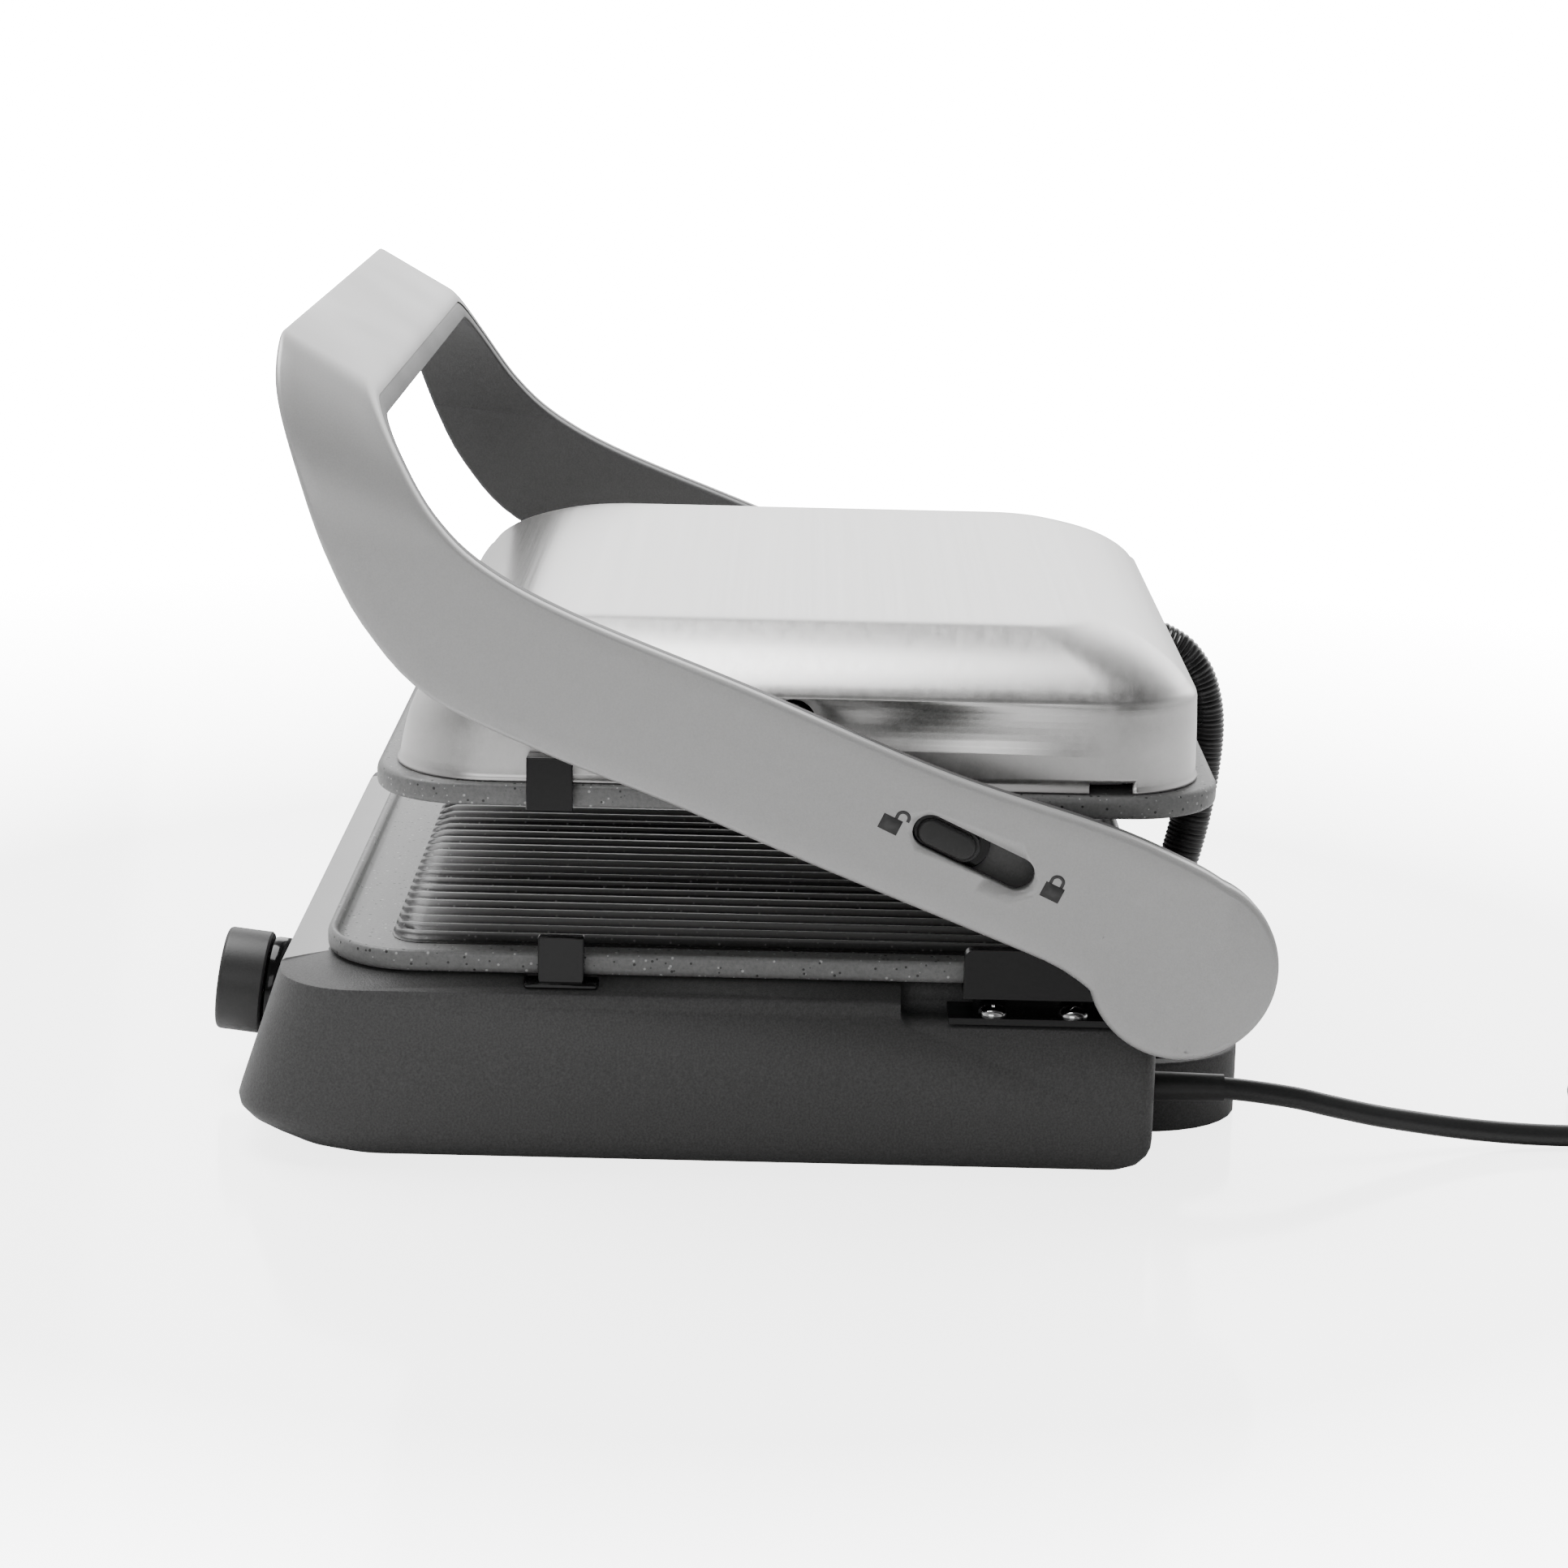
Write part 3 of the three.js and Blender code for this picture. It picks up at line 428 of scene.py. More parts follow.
# %% [markdown]
# ### Brushed steel
# Brushing leaves long parallel scratches. Noise squeezed hard along one axis draws them: the same
# value runs tens of millimetres along the hinge and changes every fraction of a millimetre across.
# They steer roughness and a shallow bump. Large soft noise keeps the sheet from looking printed.


# %% Steel, chrome and element
def brushed(name, tone, rough, scratch, relief, warm=0.01):
    made = Finish(name, grey(tone, warm), rough, 1.0)
    lines = made.noise(1, 5, 0.65, made.stretched(scratch))
    broad = made.noise(1, 3, 0.6, made.stretched(tuple(s * 0.22 for s in scratch)))
    both = made.node("ShaderNodeMath", {0: lines, 1: broad}, operation="ADD").outputs[0]
    made.set("Roughness", made.span(both, rough - 0.03, rough + 0.04, 0.75, 1.25))
    made.set(
        "Base Color",
        made.mix(made.span(both, 0, 1, 0.75, 1.25), grey(tone * 0.965, warm), grey(tone * 1.03, warm)),
    )
    made.bump(both, relief)
    return made.material


lid_steel = brushed("brushed lid steel", 0.60, 0.33, (9.0, 1500.0, 1500.0), 0.003)
shield_steel = brushed("plain heat shield steel", 0.5, 0.4, (600.0, 20.0, 600.0), 0.003)


def bright(name, tone, rough, warm=0.0):
    made = Finish(name, grey(tone, warm), rough, 1.0)
    smear = made.noise(260, 3)
    made.set("Roughness", made.span(smear, rough * 0.8, rough * 1.4, 0.3, 0.7))
    made.bump(made.noise(900, 2), 0.004)
    return made.material


chrome = bright("bright plated steel", 0.78, 0.14)
element_metal = bright("heat-tinted element sheath", 0.26, 0.38, 0.06)


# %% [markdown]
# ### Stone-look coating
# The plates are cast aluminium with a grey non-stick coat, flecked white and black. Two cell
# patterns place the flecks: a cell lights up only where the distance to its centre is small and
# its own random value is high, so the flecks are sparse, round and of many sizes.


# %% Stone coating
def stone(name, tone, fleck_tones=(0.42, 0.02), rough=0.42):
    made = Finish(name, grey(tone), rough, 0.0)
    base = made.noise(900, 4, 0.7)
    color = made.mix(made.span(base, 0, 1, 0.3, 0.7), grey(tone * 0.80), grey(tone * 1.16))
    for scale, cut, limit, fleck in (
        (420, 0.22, 0.84, fleck_tones[0]),
        (480, 0.26, 0.66, fleck_tones[1]),
        (800, 0.24, 0.84, fleck_tones[0]),
    ):
        cells = made.node("ShaderNodeTexVoronoi", {"Vector": made.place, "Scale": scale})
        split = made.node("ShaderNodeSeparateColor", {"Color": cells.outputs["Color"]})
        near = made.span(cells.outputs["Distance"], 1, 0, cut * 0.7, cut)
        chosen = made.node("ShaderNodeMath", {0: split.outputs[0], 1: limit}, operation="GREATER_THAN")
        spot = made.node("ShaderNodeMath", {0: near, 1: chosen.outputs[0]}, operation="MULTIPLY")
        color = made.mix(spot.outputs[0], color, grey(fleck))
    made.set("Base Color", color)
    made.bump(base, 0.06)
    return made.material


stone_coat = stone("grey stone coating", 0.165)

# %% [markdown]
# ## Cords
# The mains lead leaves the base at the rear right, droops to the table and runs back. The rest is
# stored as a round coil outside the view, with the plug beside it. Its route is settled before
# anything else, because its length is fixed.

# %% Mains lead, strain relief, coil and plug
CORD = 7.0  # diameter
relief_low, relief_high = node_box("strain_relief")
cord_x = (relief_low[0] + relief_high[0]) / 2
cord_z = (relief_low[2] + relief_high[2]) / 2
coil_low, coil_high = node_box("cord_coil")
coil_centre = (coil_low + coil_high) / 2
coil_radius = (coil_high[0] - coil_low[0]) / 2 - CORD - 0.5
cord_start = relief_high[1] - 1.5
on_table = CORD / 2 + 0.3
lead = [
    (cord_x, cord_start, cord_z),
    (cord_x - 0.6, cord_start + 10.5, 22.9),
    (cord_x - 2.2, 44, 20.4),
    (cord_x - 4.6, 56, 17.1),
    (cord_x - 8, 70, 13.3),
    (cord_x - 12, 84, 10),
    (cord_x - 15.5, 98, 7.2),
    (cord_x - 18, 112, 5.2),
    (cord_x - 19.4, 126, 4.1),
    (cord_x - 20, 138, on_table),
    (cord_x - 20, 150, on_table),
]
# Turns beside and above each other: outer turn, inner turn, then up on to a second layer.
TURNS, TURN_POINTS = 3.25, 28
turn_count = int(TURNS * TURN_POINTS)
step = np.arange(turn_count + 1) / TURN_POINTS
radius_at = coil_radius + CORD * 0.5 * np.cos(np.clip(step - 0.6, 0, 1) * math.pi)
radius_at = np.where(step > 1.9, coil_radius - 3.5 + 7 * np.clip((step - 1.9) / 0.8, 0, 1), radius_at)
height_at = on_table + (CORD + 0.15) * np.clip((step - 1.45) / 0.5, 0, 1)
angle_at = step * 2 * math.pi
entry = (cord_x - 20) - (coil_centre[0] + coil_radius + CORD * 0.5)
turns = np.stack(
    [
        coil_centre[0] + radius_at * np.cos(angle_at) + entry * np.clip(1 - step * 8, 0, 1),
        coil_centre[1] + radius_at * np.sin(angle_at),
        height_at,
    ],
    -1,
)
plug_low, plug_high = node_box("plug_body")
plug_y, plug_z = (plug_low[1] + plug_high[1]) / 2, (plug_low[2] + plug_high[2]) / 2
last = turns[-1]
tail = [
    (last[0] - 9, last[1] + 0.6, last[2] + 0.4),
    (last[0] - 19, plug_y - 2.5, 12.5),
    (plug_high[0] + 10, plug_y - 0.4, 16.5),
    (plug_high[0] - 1.5, plug_y, plug_z),
]
cord_path = smooth_curve(np.vstack([lead, turns, tail]), 520)
cord = tube("mains_lead", cord_path, CORD / 2, 16)
cord_length = float(np.linalg.norm(np.diff(cord_path, axis=0), axis=1).sum())
print("mains lead length in millimetres:", round(cord_length))

relief_length = relief_high[1] - relief_low[1]
relief_r = (relief_high[0] - relief_low[0]) / 2 - 0.6
relief_steps = np.linspace(0.24, 1, 40)
relief_taper = relief_r + (CORD / 2 + 0.8 - relief_r) * (relief_steps - 0.24) / 0.76
profile = [(0, 0), (relief_r, 0.2), (relief_r, relief_length * 0.22)]
profile += list(zip(relief_taper, relief_steps * relief_length))
profile += [(CORD / 2 + 0.1, relief_length), (0.01, relief_length)]
relief = turned(
    "strain_relief_taper", profile, (cord_x, relief_low[1], cord_z), (0, 1, 0), 32, 25
)
plug_length = plug_high[0] - plug_low[0]
plug_r = (plug_high[2] - plug_low[2]) / 2
plug_profile = smooth_curve(
    [(5, 0), (5.4, 6), (7.5, 11), (13, 16.5), (plug_r - 0.3, 22), (plug_r, 25)], 30
).tolist()
plug_profile += [(plug_r, plug_length - 1), (plug_r - 1, plug_length), (0.01, plug_length)]
plug = turned(
    "plug_moulding", [(0.01, 0), *plug_profile], (plug_high[0], plug_y, plug_z), (-1, 0, 0), 64, 30
)
install(relief, rubber, "strain_relief")
install(plug, rubber, "plug_body")
install(cord, rubber, "power_cord", "cord_coil", "cord_tail")
for number in (1, 2):
    low, high = node_box(f"plug_pin_{number}")
    pin_r = (high[2] - low[2]) / 2
    pin_length = high[0] - low[0]
    pin_profile = [(0.01, -1), (pin_r, -1), (pin_r, pin_length - 1.6), (pin_r * 0.62, pin_length)]
    centre = (high[0], (low[1] + high[1]) / 2, (low[2] + high[2]) / 2)
    pin = turned(f"plug_prong_{number}", [*pin_profile, (0.01, pin_length)], centre, (-1, 0, 0), 24)
    install(pin, chrome, f"plug_pin_{number}")

# %% [markdown]
# ## The base
# The base is a moulded tub whose front leans out towards its foot. Its skin is one stack of
# rounded outlines: small ones under the foot make the rolled bottom edge, larger ones the sides,
# and the last ones climb the ledge to the plate. Pockets for clips and hinges are then cut out.

# %% Base shell
plate_low, plate_high = node_box("lower_plate")
plate_half, plate_front, plate_rear = plate_high[0], plate_low[1], plate_high[1]
shell_low, shell_high = node_box("base_shell")
base_half, base_rear = shell_high[0], shell_high[1]
base_top = shell_high[2]
foot_front = shell_low[1]
LEDGE_Z = 57.5
BASE_CORNER = 26
front_top = plate_front - 14
bottom = node_box("foot_front_right")[1][2]
# (height, side inset, front, rear inset, front corner, rear corner)
base_steps = [
    (bottom + 0.1, 12, foot_front + 30, 12, BASE_CORNER, 8),
    (bottom + 0.3, 8, foot_front + 25.5, 9, BASE_CORNER, 8),
    (bottom + 1.2, 5, foot_front + 20.5, 6.4, BASE_CORNER, 7),
    (bottom + 3.2, 2.4, foot_front + 14, 3.6, BASE_CORNER, 6),
    (bottom + 6.5, 0.8, foot_front + 7.4, 1.3, BASE_CORNER, 5),
    (bottom + 9.2, 0.15, foot_front + 2.4, 0.25, BASE_CORNER, 5),
    (bottom + 12, 0, foot_front - 0.4, 0, BASE_CORNER, 5),
    (bottom + 14.5, 0, foot_front - 0.9, 0, BASE_CORNER, 5),
    (bottom + 18, 0, foot_front + 0.1, 0, BASE_CORNER, 5),
    (LEDGE_Z - 4, 0.9, front_top - 1.0, 0, BASE_CORNER, 5),
    (LEDGE_Z - 1.3, 1.0, front_top - 0.15, 0.1, BASE_CORNER, 5),
    (LEDGE_Z - 0.35, 1.3, front_top + 0.25, 0.4, BASE_CORNER, 5),
    (LEDGE_Z, 2.0, front_top + 0.9, 1.0, BASE_CORNER, 5),
    (base_top - 0.2, base_half - plate_half + 0.6, plate_front + 1.6, 2.2, BASE_CORNER, 5),
    (base_top - 0.1, base_half - plate_half + 6, plate_front + 7, 8, 22, 5),
]


def base_sections(steps):
    return [(z, base_half - s, f, base_rear - r, fc, rc) for z, s, f, r, fc, rc in steps]


base = stack_mesh("base_casing", base_sections(base_steps), 18)
tray_half, tray_front, tray_rear = plate_half - 14, plate_front + 14, plate_rear - 12
well_ring = [
    plan_ring(tray_half, tray_front, tray_rear, 20, 20, z, 10) for z in (30, base_top + 5)
]
recess_floor = 49.6
recess_front = -82.8
clip_y = sum(node_box("clip_lower_right")[i][1] for i in (0, 1)) / 2
tools = [rings_mesh("well", well_ring)]
for side in (-1, 1):
    reach = sorted((side * (plate_half - 10), side * (base_half + 6)))
    notch = block("recess", reach, (recess_front, base_rear + 8), (recess_floor, base_top + 6))
    tools.append(settle(round_edges(notch, 3.6, 5)))
    reach = sorted((side * (plate_half - 4), side * (base_half - 3)))
    pocket = block("clip_pocket", reach, (clip_y - 11.6, clip_y + 11.6), (58.2, base_top + 6))
    tools.append(settle(round_edges(pocket, 0.8, 2)))
carve(base, *tools)
install(base, charcoal, "base_shell")
print("base casing faces:", len(base.data.polygons))

# %% [markdown]
# ## Clip sockets
# A glossy black socket in each side of the base holds the lower clip.

# %% Clip sockets
for side in (-1, 1):
    reach = sorted((side * (plate_half - 3.4), side * (base_half - 3.3)))
    socket = block("clip_socket", reach, (clip_y - 11.2, clip_y + 11.2), (58.35, 60.0))
    round_edges(socket, 0.5, 2)
    install(socket, gloss_black, body="base")

# %% [markdown]
# ## The front panel
# A silver strip lies flush in the sloping front of the base, between the ledge and the plate. Its
# ends run back straight, so the dark plastic shows as a wedge beside each end.

# %% Front panel
PANEL_FRONT_HALF, PANEL_REAR_HALF = 121.0, 118.0
across = np.linspace(-1, 1, 41)
panel_profile = [
    (front_top - 0.1, LEDGE_Z - 3.4, 0),
    (front_top - 0.35, LEDGE_Z - 1.2, 0),
    (front_top + 0.3, LEDGE_Z + 0.05, 0.05),
    (front_top + 1.3, LEDGE_Z + 0.55, 0.12),
    (plate_front + 3.4, base_top + 0.05, 1),
    (plate_front + 3.4, base_top - 3.2, 1),
]
rings = [
    [
        (x * (PANEL_FRONT_HALF + (PANEL_REAR_HALF - PANEL_FRONT_HALF) * back), y, z)
        for y, z, back in panel_profile
    ]
    for x in across
]
panel = rings_mesh("silver_front_panel", rings, smooth_angle=30)
install(panel, panel_paint, "front_panel")


# %% [markdown]
# ## Grill plates
# Each plate is a cast tray: a rounded rim, a flat floor and a field of ribs. The tray is one skin
# that goes up the outside, over the rim and down to the floor. The field is a thin dark slab with
# round-topped ribs running front to back; the crests are painted lighter as a painted highlight.


# %% Grill plate maker
RIM, MARGIN, RIB_PITCH, FLOOR = 3.0, 17.0, 9.0, 3.5


def tray_rings(front, rear, height, corner):
    """The rim's section, as (inset, height) pairs, applied to the whole plan outline."""
    section = [
        (6.0, 0.0), (2.2, 0.0), (0.9, 0.35), (0.2, 1.1), (0, 2.2), (0, height - 1.6),
        (0.25, height - 0.7), (0.9, height - 0.12), (1.5, height), (2.1, height - 0.12),
        (2.75, height - 0.6), (RIM + 0.1, height - 1.3), (RIM + 0.5, FLOOR + 1.2),
        (RIM + 1.1, FLOOR + 0.4), (RIM + 2.2, FLOOR), (RIM + 6, FLOOR),
    ]
    return [
        plan_ring(plate_half - i, front + i, rear - i, max(corner - i, 4), max(corner - i, 4), z, 16)
        for i, z in section
    ]


def grill_plate(node, title, facing_up):
    low, high = node_box(node)
    front, rear, height = low[1], high[1], high[2] - low[2]
    tray = rings_mesh(title, tray_rings(front, rear, height, 30), smooth_angle=50)
    field_half = plate_half - RIM - MARGIN
    field_front, field_rear = front + RIM + MARGIN, rear - RIM - MARGIN
    # The field: a rounded slab whose surface is cos-shaped ribs, level where it meets the margin.
    per_rib = 10
    x = np.linspace(-field_half, field_half, int(2 * field_half / RIB_PITCH) * per_rib + 1)
    ends = np.r_[0, 1.2, 3, 5.5, np.linspace(9, field_rear - field_front - 9, 12)]
    ends = np.r_[ends, field_rear - field_front - np.r_[5.5, 3, 1.2, 0]]
    y = field_front + ends
    phase = np.abs((x / RIB_PITCH + 0.5) % 1 - 0.5) * RIB_PITCH
    rib = np.clip((2.3 - phase) / 1.4, 0, 1)
    rib = rib * rib * (3 - 2 * rib)
    fade = np.clip(np.minimum(ends, ends[-1] - ends) / 5.5, 0, 1) ** 0.6
    corner = 11
    yy, xx = np.meshgrid(y, x, indexing="ij")
    side_cut = np.clip(corner - (yy - field_front), 0, corner)
    side_cut = np.maximum(side_cut, np.clip(corner - (field_rear - yy), 0, corner))
    allowed = field_half - corner + np.sqrt(np.maximum(corner**2 - side_cut**2, 0))
    xx = xx * (allowed / field_half)
    top = FLOOR + 0.25 + 2.1 * rib[None, :] * fade[:, None]
    rows, columns = top.shape
    upper = np.stack([xx, yy, top], -1).reshape(-1, 3)
    under = upper.copy()
    under[:, 2] = FLOOR - 0.8
    faces = grid_faces(rows, columns, wrap_columns=False)
    count = rows * columns
    faces += [[count + i for i in face[::-1]] for face in faces]
    border = [*range(columns)]
    border += [r * columns + columns - 1 for r in range(1, rows)]
    border += [(rows - 1) * columns + c for c in range(columns - 2, -1, -1)]
    border += [r * columns for r in range(rows - 2, 0, -1)]
    for a, b in zip(border, border[1:] + border[:1]):
        faces.append([a, a + count, b + count, b])
    field = from_points(title + "_ribbed_field", np.vstack([upper, under]), faces, 60)
    co = np.empty(len(field.data.vertices) * 3)
    field.data.vertices.foreach_get("co", co)
    # Painted highlight: a value for the rib tops, which the material paints lighter.
    crest_highlight = np.clip((co.reshape(-1, 3)[:, 2] / MM - FLOOR - 1.55) / 0.5, 0, 1)
    layer = field.data.attributes.new("crest_highlight", "FLOAT", "POINT")
    layer.data.foreach_set("value", crest_highlight)
    for piece in (tray, field):
        matrix = Matrix.Translation((0, 0, low[2] * MM))
        if not facing_up:
            matrix = Matrix.Translation((0, 0, high[2] * MM)) @ Matrix.Rotation(math.pi, 4, "Y")
        piece.data.transform(matrix)
        piece.data.update()
    return tray, field


ribbed = Finish("black ribbed stone coating", grey(0.014), 0.36)
speck = ribbed.noise(900, 4, 0.7)
flecks = ribbed.node("ShaderNodeTexVoronoi", {"Vector": ribbed.place, "Scale": 420})
flecked = ribbed.span(flecks.outputs["Distance"], 1, 0, 0.12, 0.2)
dark = ribbed.mix(ribbed.span(speck, 0, 1, 0.3, 0.7), grey(0.009), grey(0.022))
dark = ribbed.mix(flecked, dark, grey(0.10))
crest_highlight_value = ribbed.node("ShaderNodeAttribute", attribute_name="crest_highlight").outputs["Fac"]
# Painted highlight: the rib crests are mixed towards a lighter grey.
ribbed.set("Base Color", ribbed.mix(crest_highlight_value, dark, grey(0.20)))
ribbed.bump(speck, 0.08)

lower_tray, lower_field = grill_plate("lower_plate", "lower_grill_plate", True)
upper_tray, upper_field = grill_plate("upper_plate", "upper_grill_plate", False)
install(lower_tray, stone_coat, "lower_plate")
install(upper_tray, stone_coat, "upper_plate")
install(lower_field, ribbed.material, body=node_body["lower_plate"])
install(upper_field, ribbed.material, body=node_body["upper_plate"])

# %% [markdown]
# ## The lid
# The lid is pressed from one steel sheet: an upright skirt, a crease, then shoulders that roll over
# to a nearly flat top with a slight crown. The outlines of its stack come from a few key heights,
# joined by a smooth curve, so the sheet bends instead of folding.

# %% Lid shell
lid_low, lid_high = node_box("lid_shell")
lid_half, lid_front, lid_rear, skirt_z = lid_high[0], lid_low[1], lid_high[1], lid_low[2]
# (rise, side inset, front inset, rear inset, corner radius)
lid_keys = [
    (0.0, 0.0, 0.0, 0.0, 30),
    (8.0, 0.2, 1.4, 0.2, 30),
    (16, 0.5, 3.5, 0.4, 29),
    (23, 0.8, 6.6, 0.7, 28.5),
    (27.2, 1.1, 9.4, 1.0, 28),
    (28.6, 2.0, 10.8, 2.6, 28),
    (30.5, 3.8, 12.2, 4.0, 28),
    (33.5, 7.9, 14.6, 7.0, 28),
    (36.5, 12.8, 18.2, 11.0, 27.5),
    (39.5, 18.6, 22.8, 16.0, 27),
    (42.0, 24.4, 28.2, 21.8, 26),
    (44.3, 30.6, 35.0, 29.0, 24),
    (45.2, 33.6, 39.0, 32.6, 23),
    (45.6, 37.5, 44.0, 37.0, 22),
    (45.8, 46.0, 56.0, 47.0, 20),
    (46.0, 72.0, 90.0, 80.0, 16),
]
keys = smooth_curve(lid_keys, 74)
shell = [
    plan_ring(lid_half - s, lid_front + f, lid_rear - b, c, c, skirt_z + r, 20)
    for r, s, f, b, c in keys
]
# The skirt's foot is turned out and back in, then the sheet's inner side follows the outer one.
lip = [
    (2.2, 0.6), (1.6, -0.15), (0.6, -0.25), (-0.35, -0.1), (-0.55, 0.35), (-0.35, 0.85), (-0.05, 1.3),
]
lip_rings = [
    plan_ring(lid_half - i, lid_front + i, lid_rear - i, 30 - i, 30 - i, skirt_z + z, 20)
    for i, z in lip
]
inside = [
    plan_ring(lid_half - s - 1.6, lid_front + f + 1.8, lid_rear - b - 1.8, c, c, skirt_z + r - 1.2, 20)
    for r, s, f, b, c in keys[::-6][:-1]
]
lid = rings_mesh("steel_lid_cover", [*inside, *lip_rings, *shell[1:]], smooth_angle=50)
lid_pin_low, lid_pin_high = node_box("lid_pin_right")
pin_y = (lid_pin_low[1] + lid_pin_high[1]) / 2
pin_z = (lid_pin_low[2] + lid_pin_high[2]) / 2
NOTCH_Y = (-27.0, -13.6)
for side in (-1, 1):
    hole = turned(
        "pin_hole",
        [(0.01, -9), (7.2, -9), (7.2, 9), (0.01, 9)],
        (side * lid_half, pin_y, pin_z),
        (1, 0, 0),
        40,
    )
    reach = sorted((side * (lid_half - 5), side * (lid_half + 4)))
    notch = block("skirt_notch", reach, NOTCH_Y, (skirt_z - 3, skirt_z + 3.4))
    carve(lid, hole, notch)
install(lid, lid_steel, "lid_shell")
print("lid faces:", len(lid.data.polygons))

# %% [markdown]
# ## Arms and grip
# One broad strap forms both arms and the grip. Two curves in the side view are its edges; over the
# last stretch the strap turns in along a quarter ellipse and becomes the grip. Walking along the
# strap and offsetting into its thickness gives the silver shell, with its edges rolled over, and
# the dark liner inside it.

# %% The strap's edges and its offset points
arm_outer = node_box("handle_yoke")[1][0]
arm_inner = node_box("arm_liner_right")[0][0]
HUB_R, GRIP_HALF, SHOULDER_DROP = 28.9, 125.0, 64.0
HUB_AT = (1.8, 73.9)  # the round end's middle, a little behind and below the pin
SHELL, THICK = 5.0, arm_outer - arm_inner
rear_edge = smooth_curve(
    [
        (15.6, 99.0), (8.2, 103.6), (-0.6, 107.9), (-12.2, 113.1), (-28, 118.8), (-72.8, 133),
        (-130.9, 156.9), (-183, 177.4),
        (-209.2, 191.1), (-224.5, 204.9), (-236.3, 222.5), (-246.9, 241.6),
    ],
    900,
)
front_edge = smooth_curve(
    [
        (5.3, 45.2), (-3.4, 47.1), (-9.4, 50.7), (-13.9, 54.1), (-18.4, 58.5), (-22.9, 63), (-27.4, 67.4),
        (-33.4, 71.7), (-39.2, 74.9), (-53.8, 80.9),
        (-111.2, 103.8), (-155.5, 122.2), (-192.1, 136.3), (-226.7, 153), (-245.3, 173.1),
        (-256.1, 193.4), (-265.1, 217.9), (-272.5, 240.5), (-274.1, 257.1),
    ],
    900,
)


def along(curve, down):
    """The curve's point a given length below its top end, for an array of lengths."""
    length = np.r_[0, np.cumsum(np.linalg.norm(np.diff(curve, axis=0), axis=1))]
    at = length[-1] - down
    return np.stack([np.interp(at, length, curve[:, i]) for i in (0, 1)], -1)


def strap_edge(curve, station, depth):
    """Points `depth` under the outer face: station 0 to 1 up the arm, 1 to 2 over the shoulder."""
    length = np.linalg.norm(np.diff(curve, axis=0), axis=1).sum()
    angle = np.clip(station - 1, 0, 1) * math.pi / 2
    reach = arm_outer - GRIP_HALF
    nx, nd = np.cos(angle) / reach, np.sin(angle) / SHOULDER_DROP
    size = np.hypot(nx, nd)
    nx, nd = nx / size, nd / size
    x = GRIP_HALF + reach * np.cos(angle) - depth * nx
    arm_down = length - np.minimum(station, 1) * (length - SHOULDER_DROP)
    down = np.where(station < 1, arm_down, SHOULDER_DROP * (1 - np.sin(angle))) + depth * nd
    return np.column_stack([x, along(curve, down)])


# Stations are close together where the outline bends: at the hub and over the shoulder.
stations = np.r_[np.linspace(0, 0.16, 17), np.linspace(0.16, 1, 44)[1:], np.linspace(1, 2, 25)[1:]]


def strap_rings(section, stations):
    """Rings through a section given as (share across the strap, inset in mm, depth in mm)."""
    rings = []
    for share, inset, depth in section:
        rear = strap_edge(rear_edge, stations, depth)
        front = strap_edge(front_edge, stations, depth)
        width = np.linalg.norm(front - rear, axis=1)[:, None]
        toward = (front - rear) / width
        base = rear + (front - rear) * share
        rings.append(base + toward * inset)
    return np.array(rings).transpose(1, 0, 2)


def across_grip(rings):
    """Adds the mirrored arm, so one skin runs from hub to hub."""
    other = rings[::-1] * np.array([-1, 1, 1.0])
    return np.concatenate([rings, other])


def rounded_section(from_depth, to_depth, outer_round, inner_round, crown=0.0, inset=0.0):
    """A flat bar's section with rounded corners; the outer face may be slightly crowned."""
    points = []
    for share in np.linspace(0, 1, 9):
        bulge = crown * (1 - (2 * share - 1) ** 2)
        edge_inset = outer_round * (1 - 2 * share) + inset * (1 - 2 * share)
        points.append((share, edge_inset, from_depth - bulge))
    turn = np.linspace(0, math.pi / 2, 6)[1:]
    quarters = (
        (1, -1, turn, from_depth, outer_round, 1, 0),
        (1, -1, turn if inner_round else [0], to_depth, inner_round, -1, 1),
        (0, 1, turn[::-1] if inner_round else [0], to_depth, inner_round, -1, 1),
        (0, 1, turn[::-1], from_depth, outer_round, 1, 0),
    )
    for share, sign, angles, depth, radius, down, swap in quarters:
        for a in angles:
            near, deep = (1 - math.sin(a), 1 - math.cos(a))
            if swap:
                near, deep = 1 - math.cos(a), 1 - math.sin(a)
            points.append((share, sign * (radius * near + inset), depth + down * radius * deep))
    return points


# %% [markdown]
# The hub at the lower end is a round boss. Its disc has the same rounded rim, and is joined to the
# strap so that no seam shows. The slot for the lock slider is then cut through the right arm.


# %% Silver yoke
def hub_disc(name, x_inner, x_outer, radius, rim):
    """A disc about the middle of the arm's round end, with a rounded outer rim."""
    side = 1 if x_outer > x_inner else -1
    thick = abs(x_outer - x_inner)
    profile = [(0.01, 0), (radius, 0), (radius, thick - rim)]
    profile += [
        (radius - rim * (1 - math.cos(a)), thick - rim + rim * math.sin(a))
        for a in np.linspace(0, math.pi / 2, 6)[1:]
    ]
    profile.append((0.01, thick))
    return turned(name, profile, (x_inner, *HUB_AT), (side, 0, 0), 96)


EDGE = 2.2
shell_section = rounded_section(0, SHELL, EDGE, 0.5)
yoke = rings_mesh("silver_yoke", across_grip(strap_rings(shell_section, stations)))
shell_inner = arm_outer - SHELL
discs = [hub_disc("hub", s * shell_inner, s * arm_outer, HUB_R, EDGE) for s in (-1, 1)]
carve(yoke, *discs, operation="UNION")

SLOT_TILT = math.radians(-25.3)
SLOT_AT = (-62.8, 108.9)
SLOT_LENGTH, SLOT_WIDTH = 40.0, 10.7


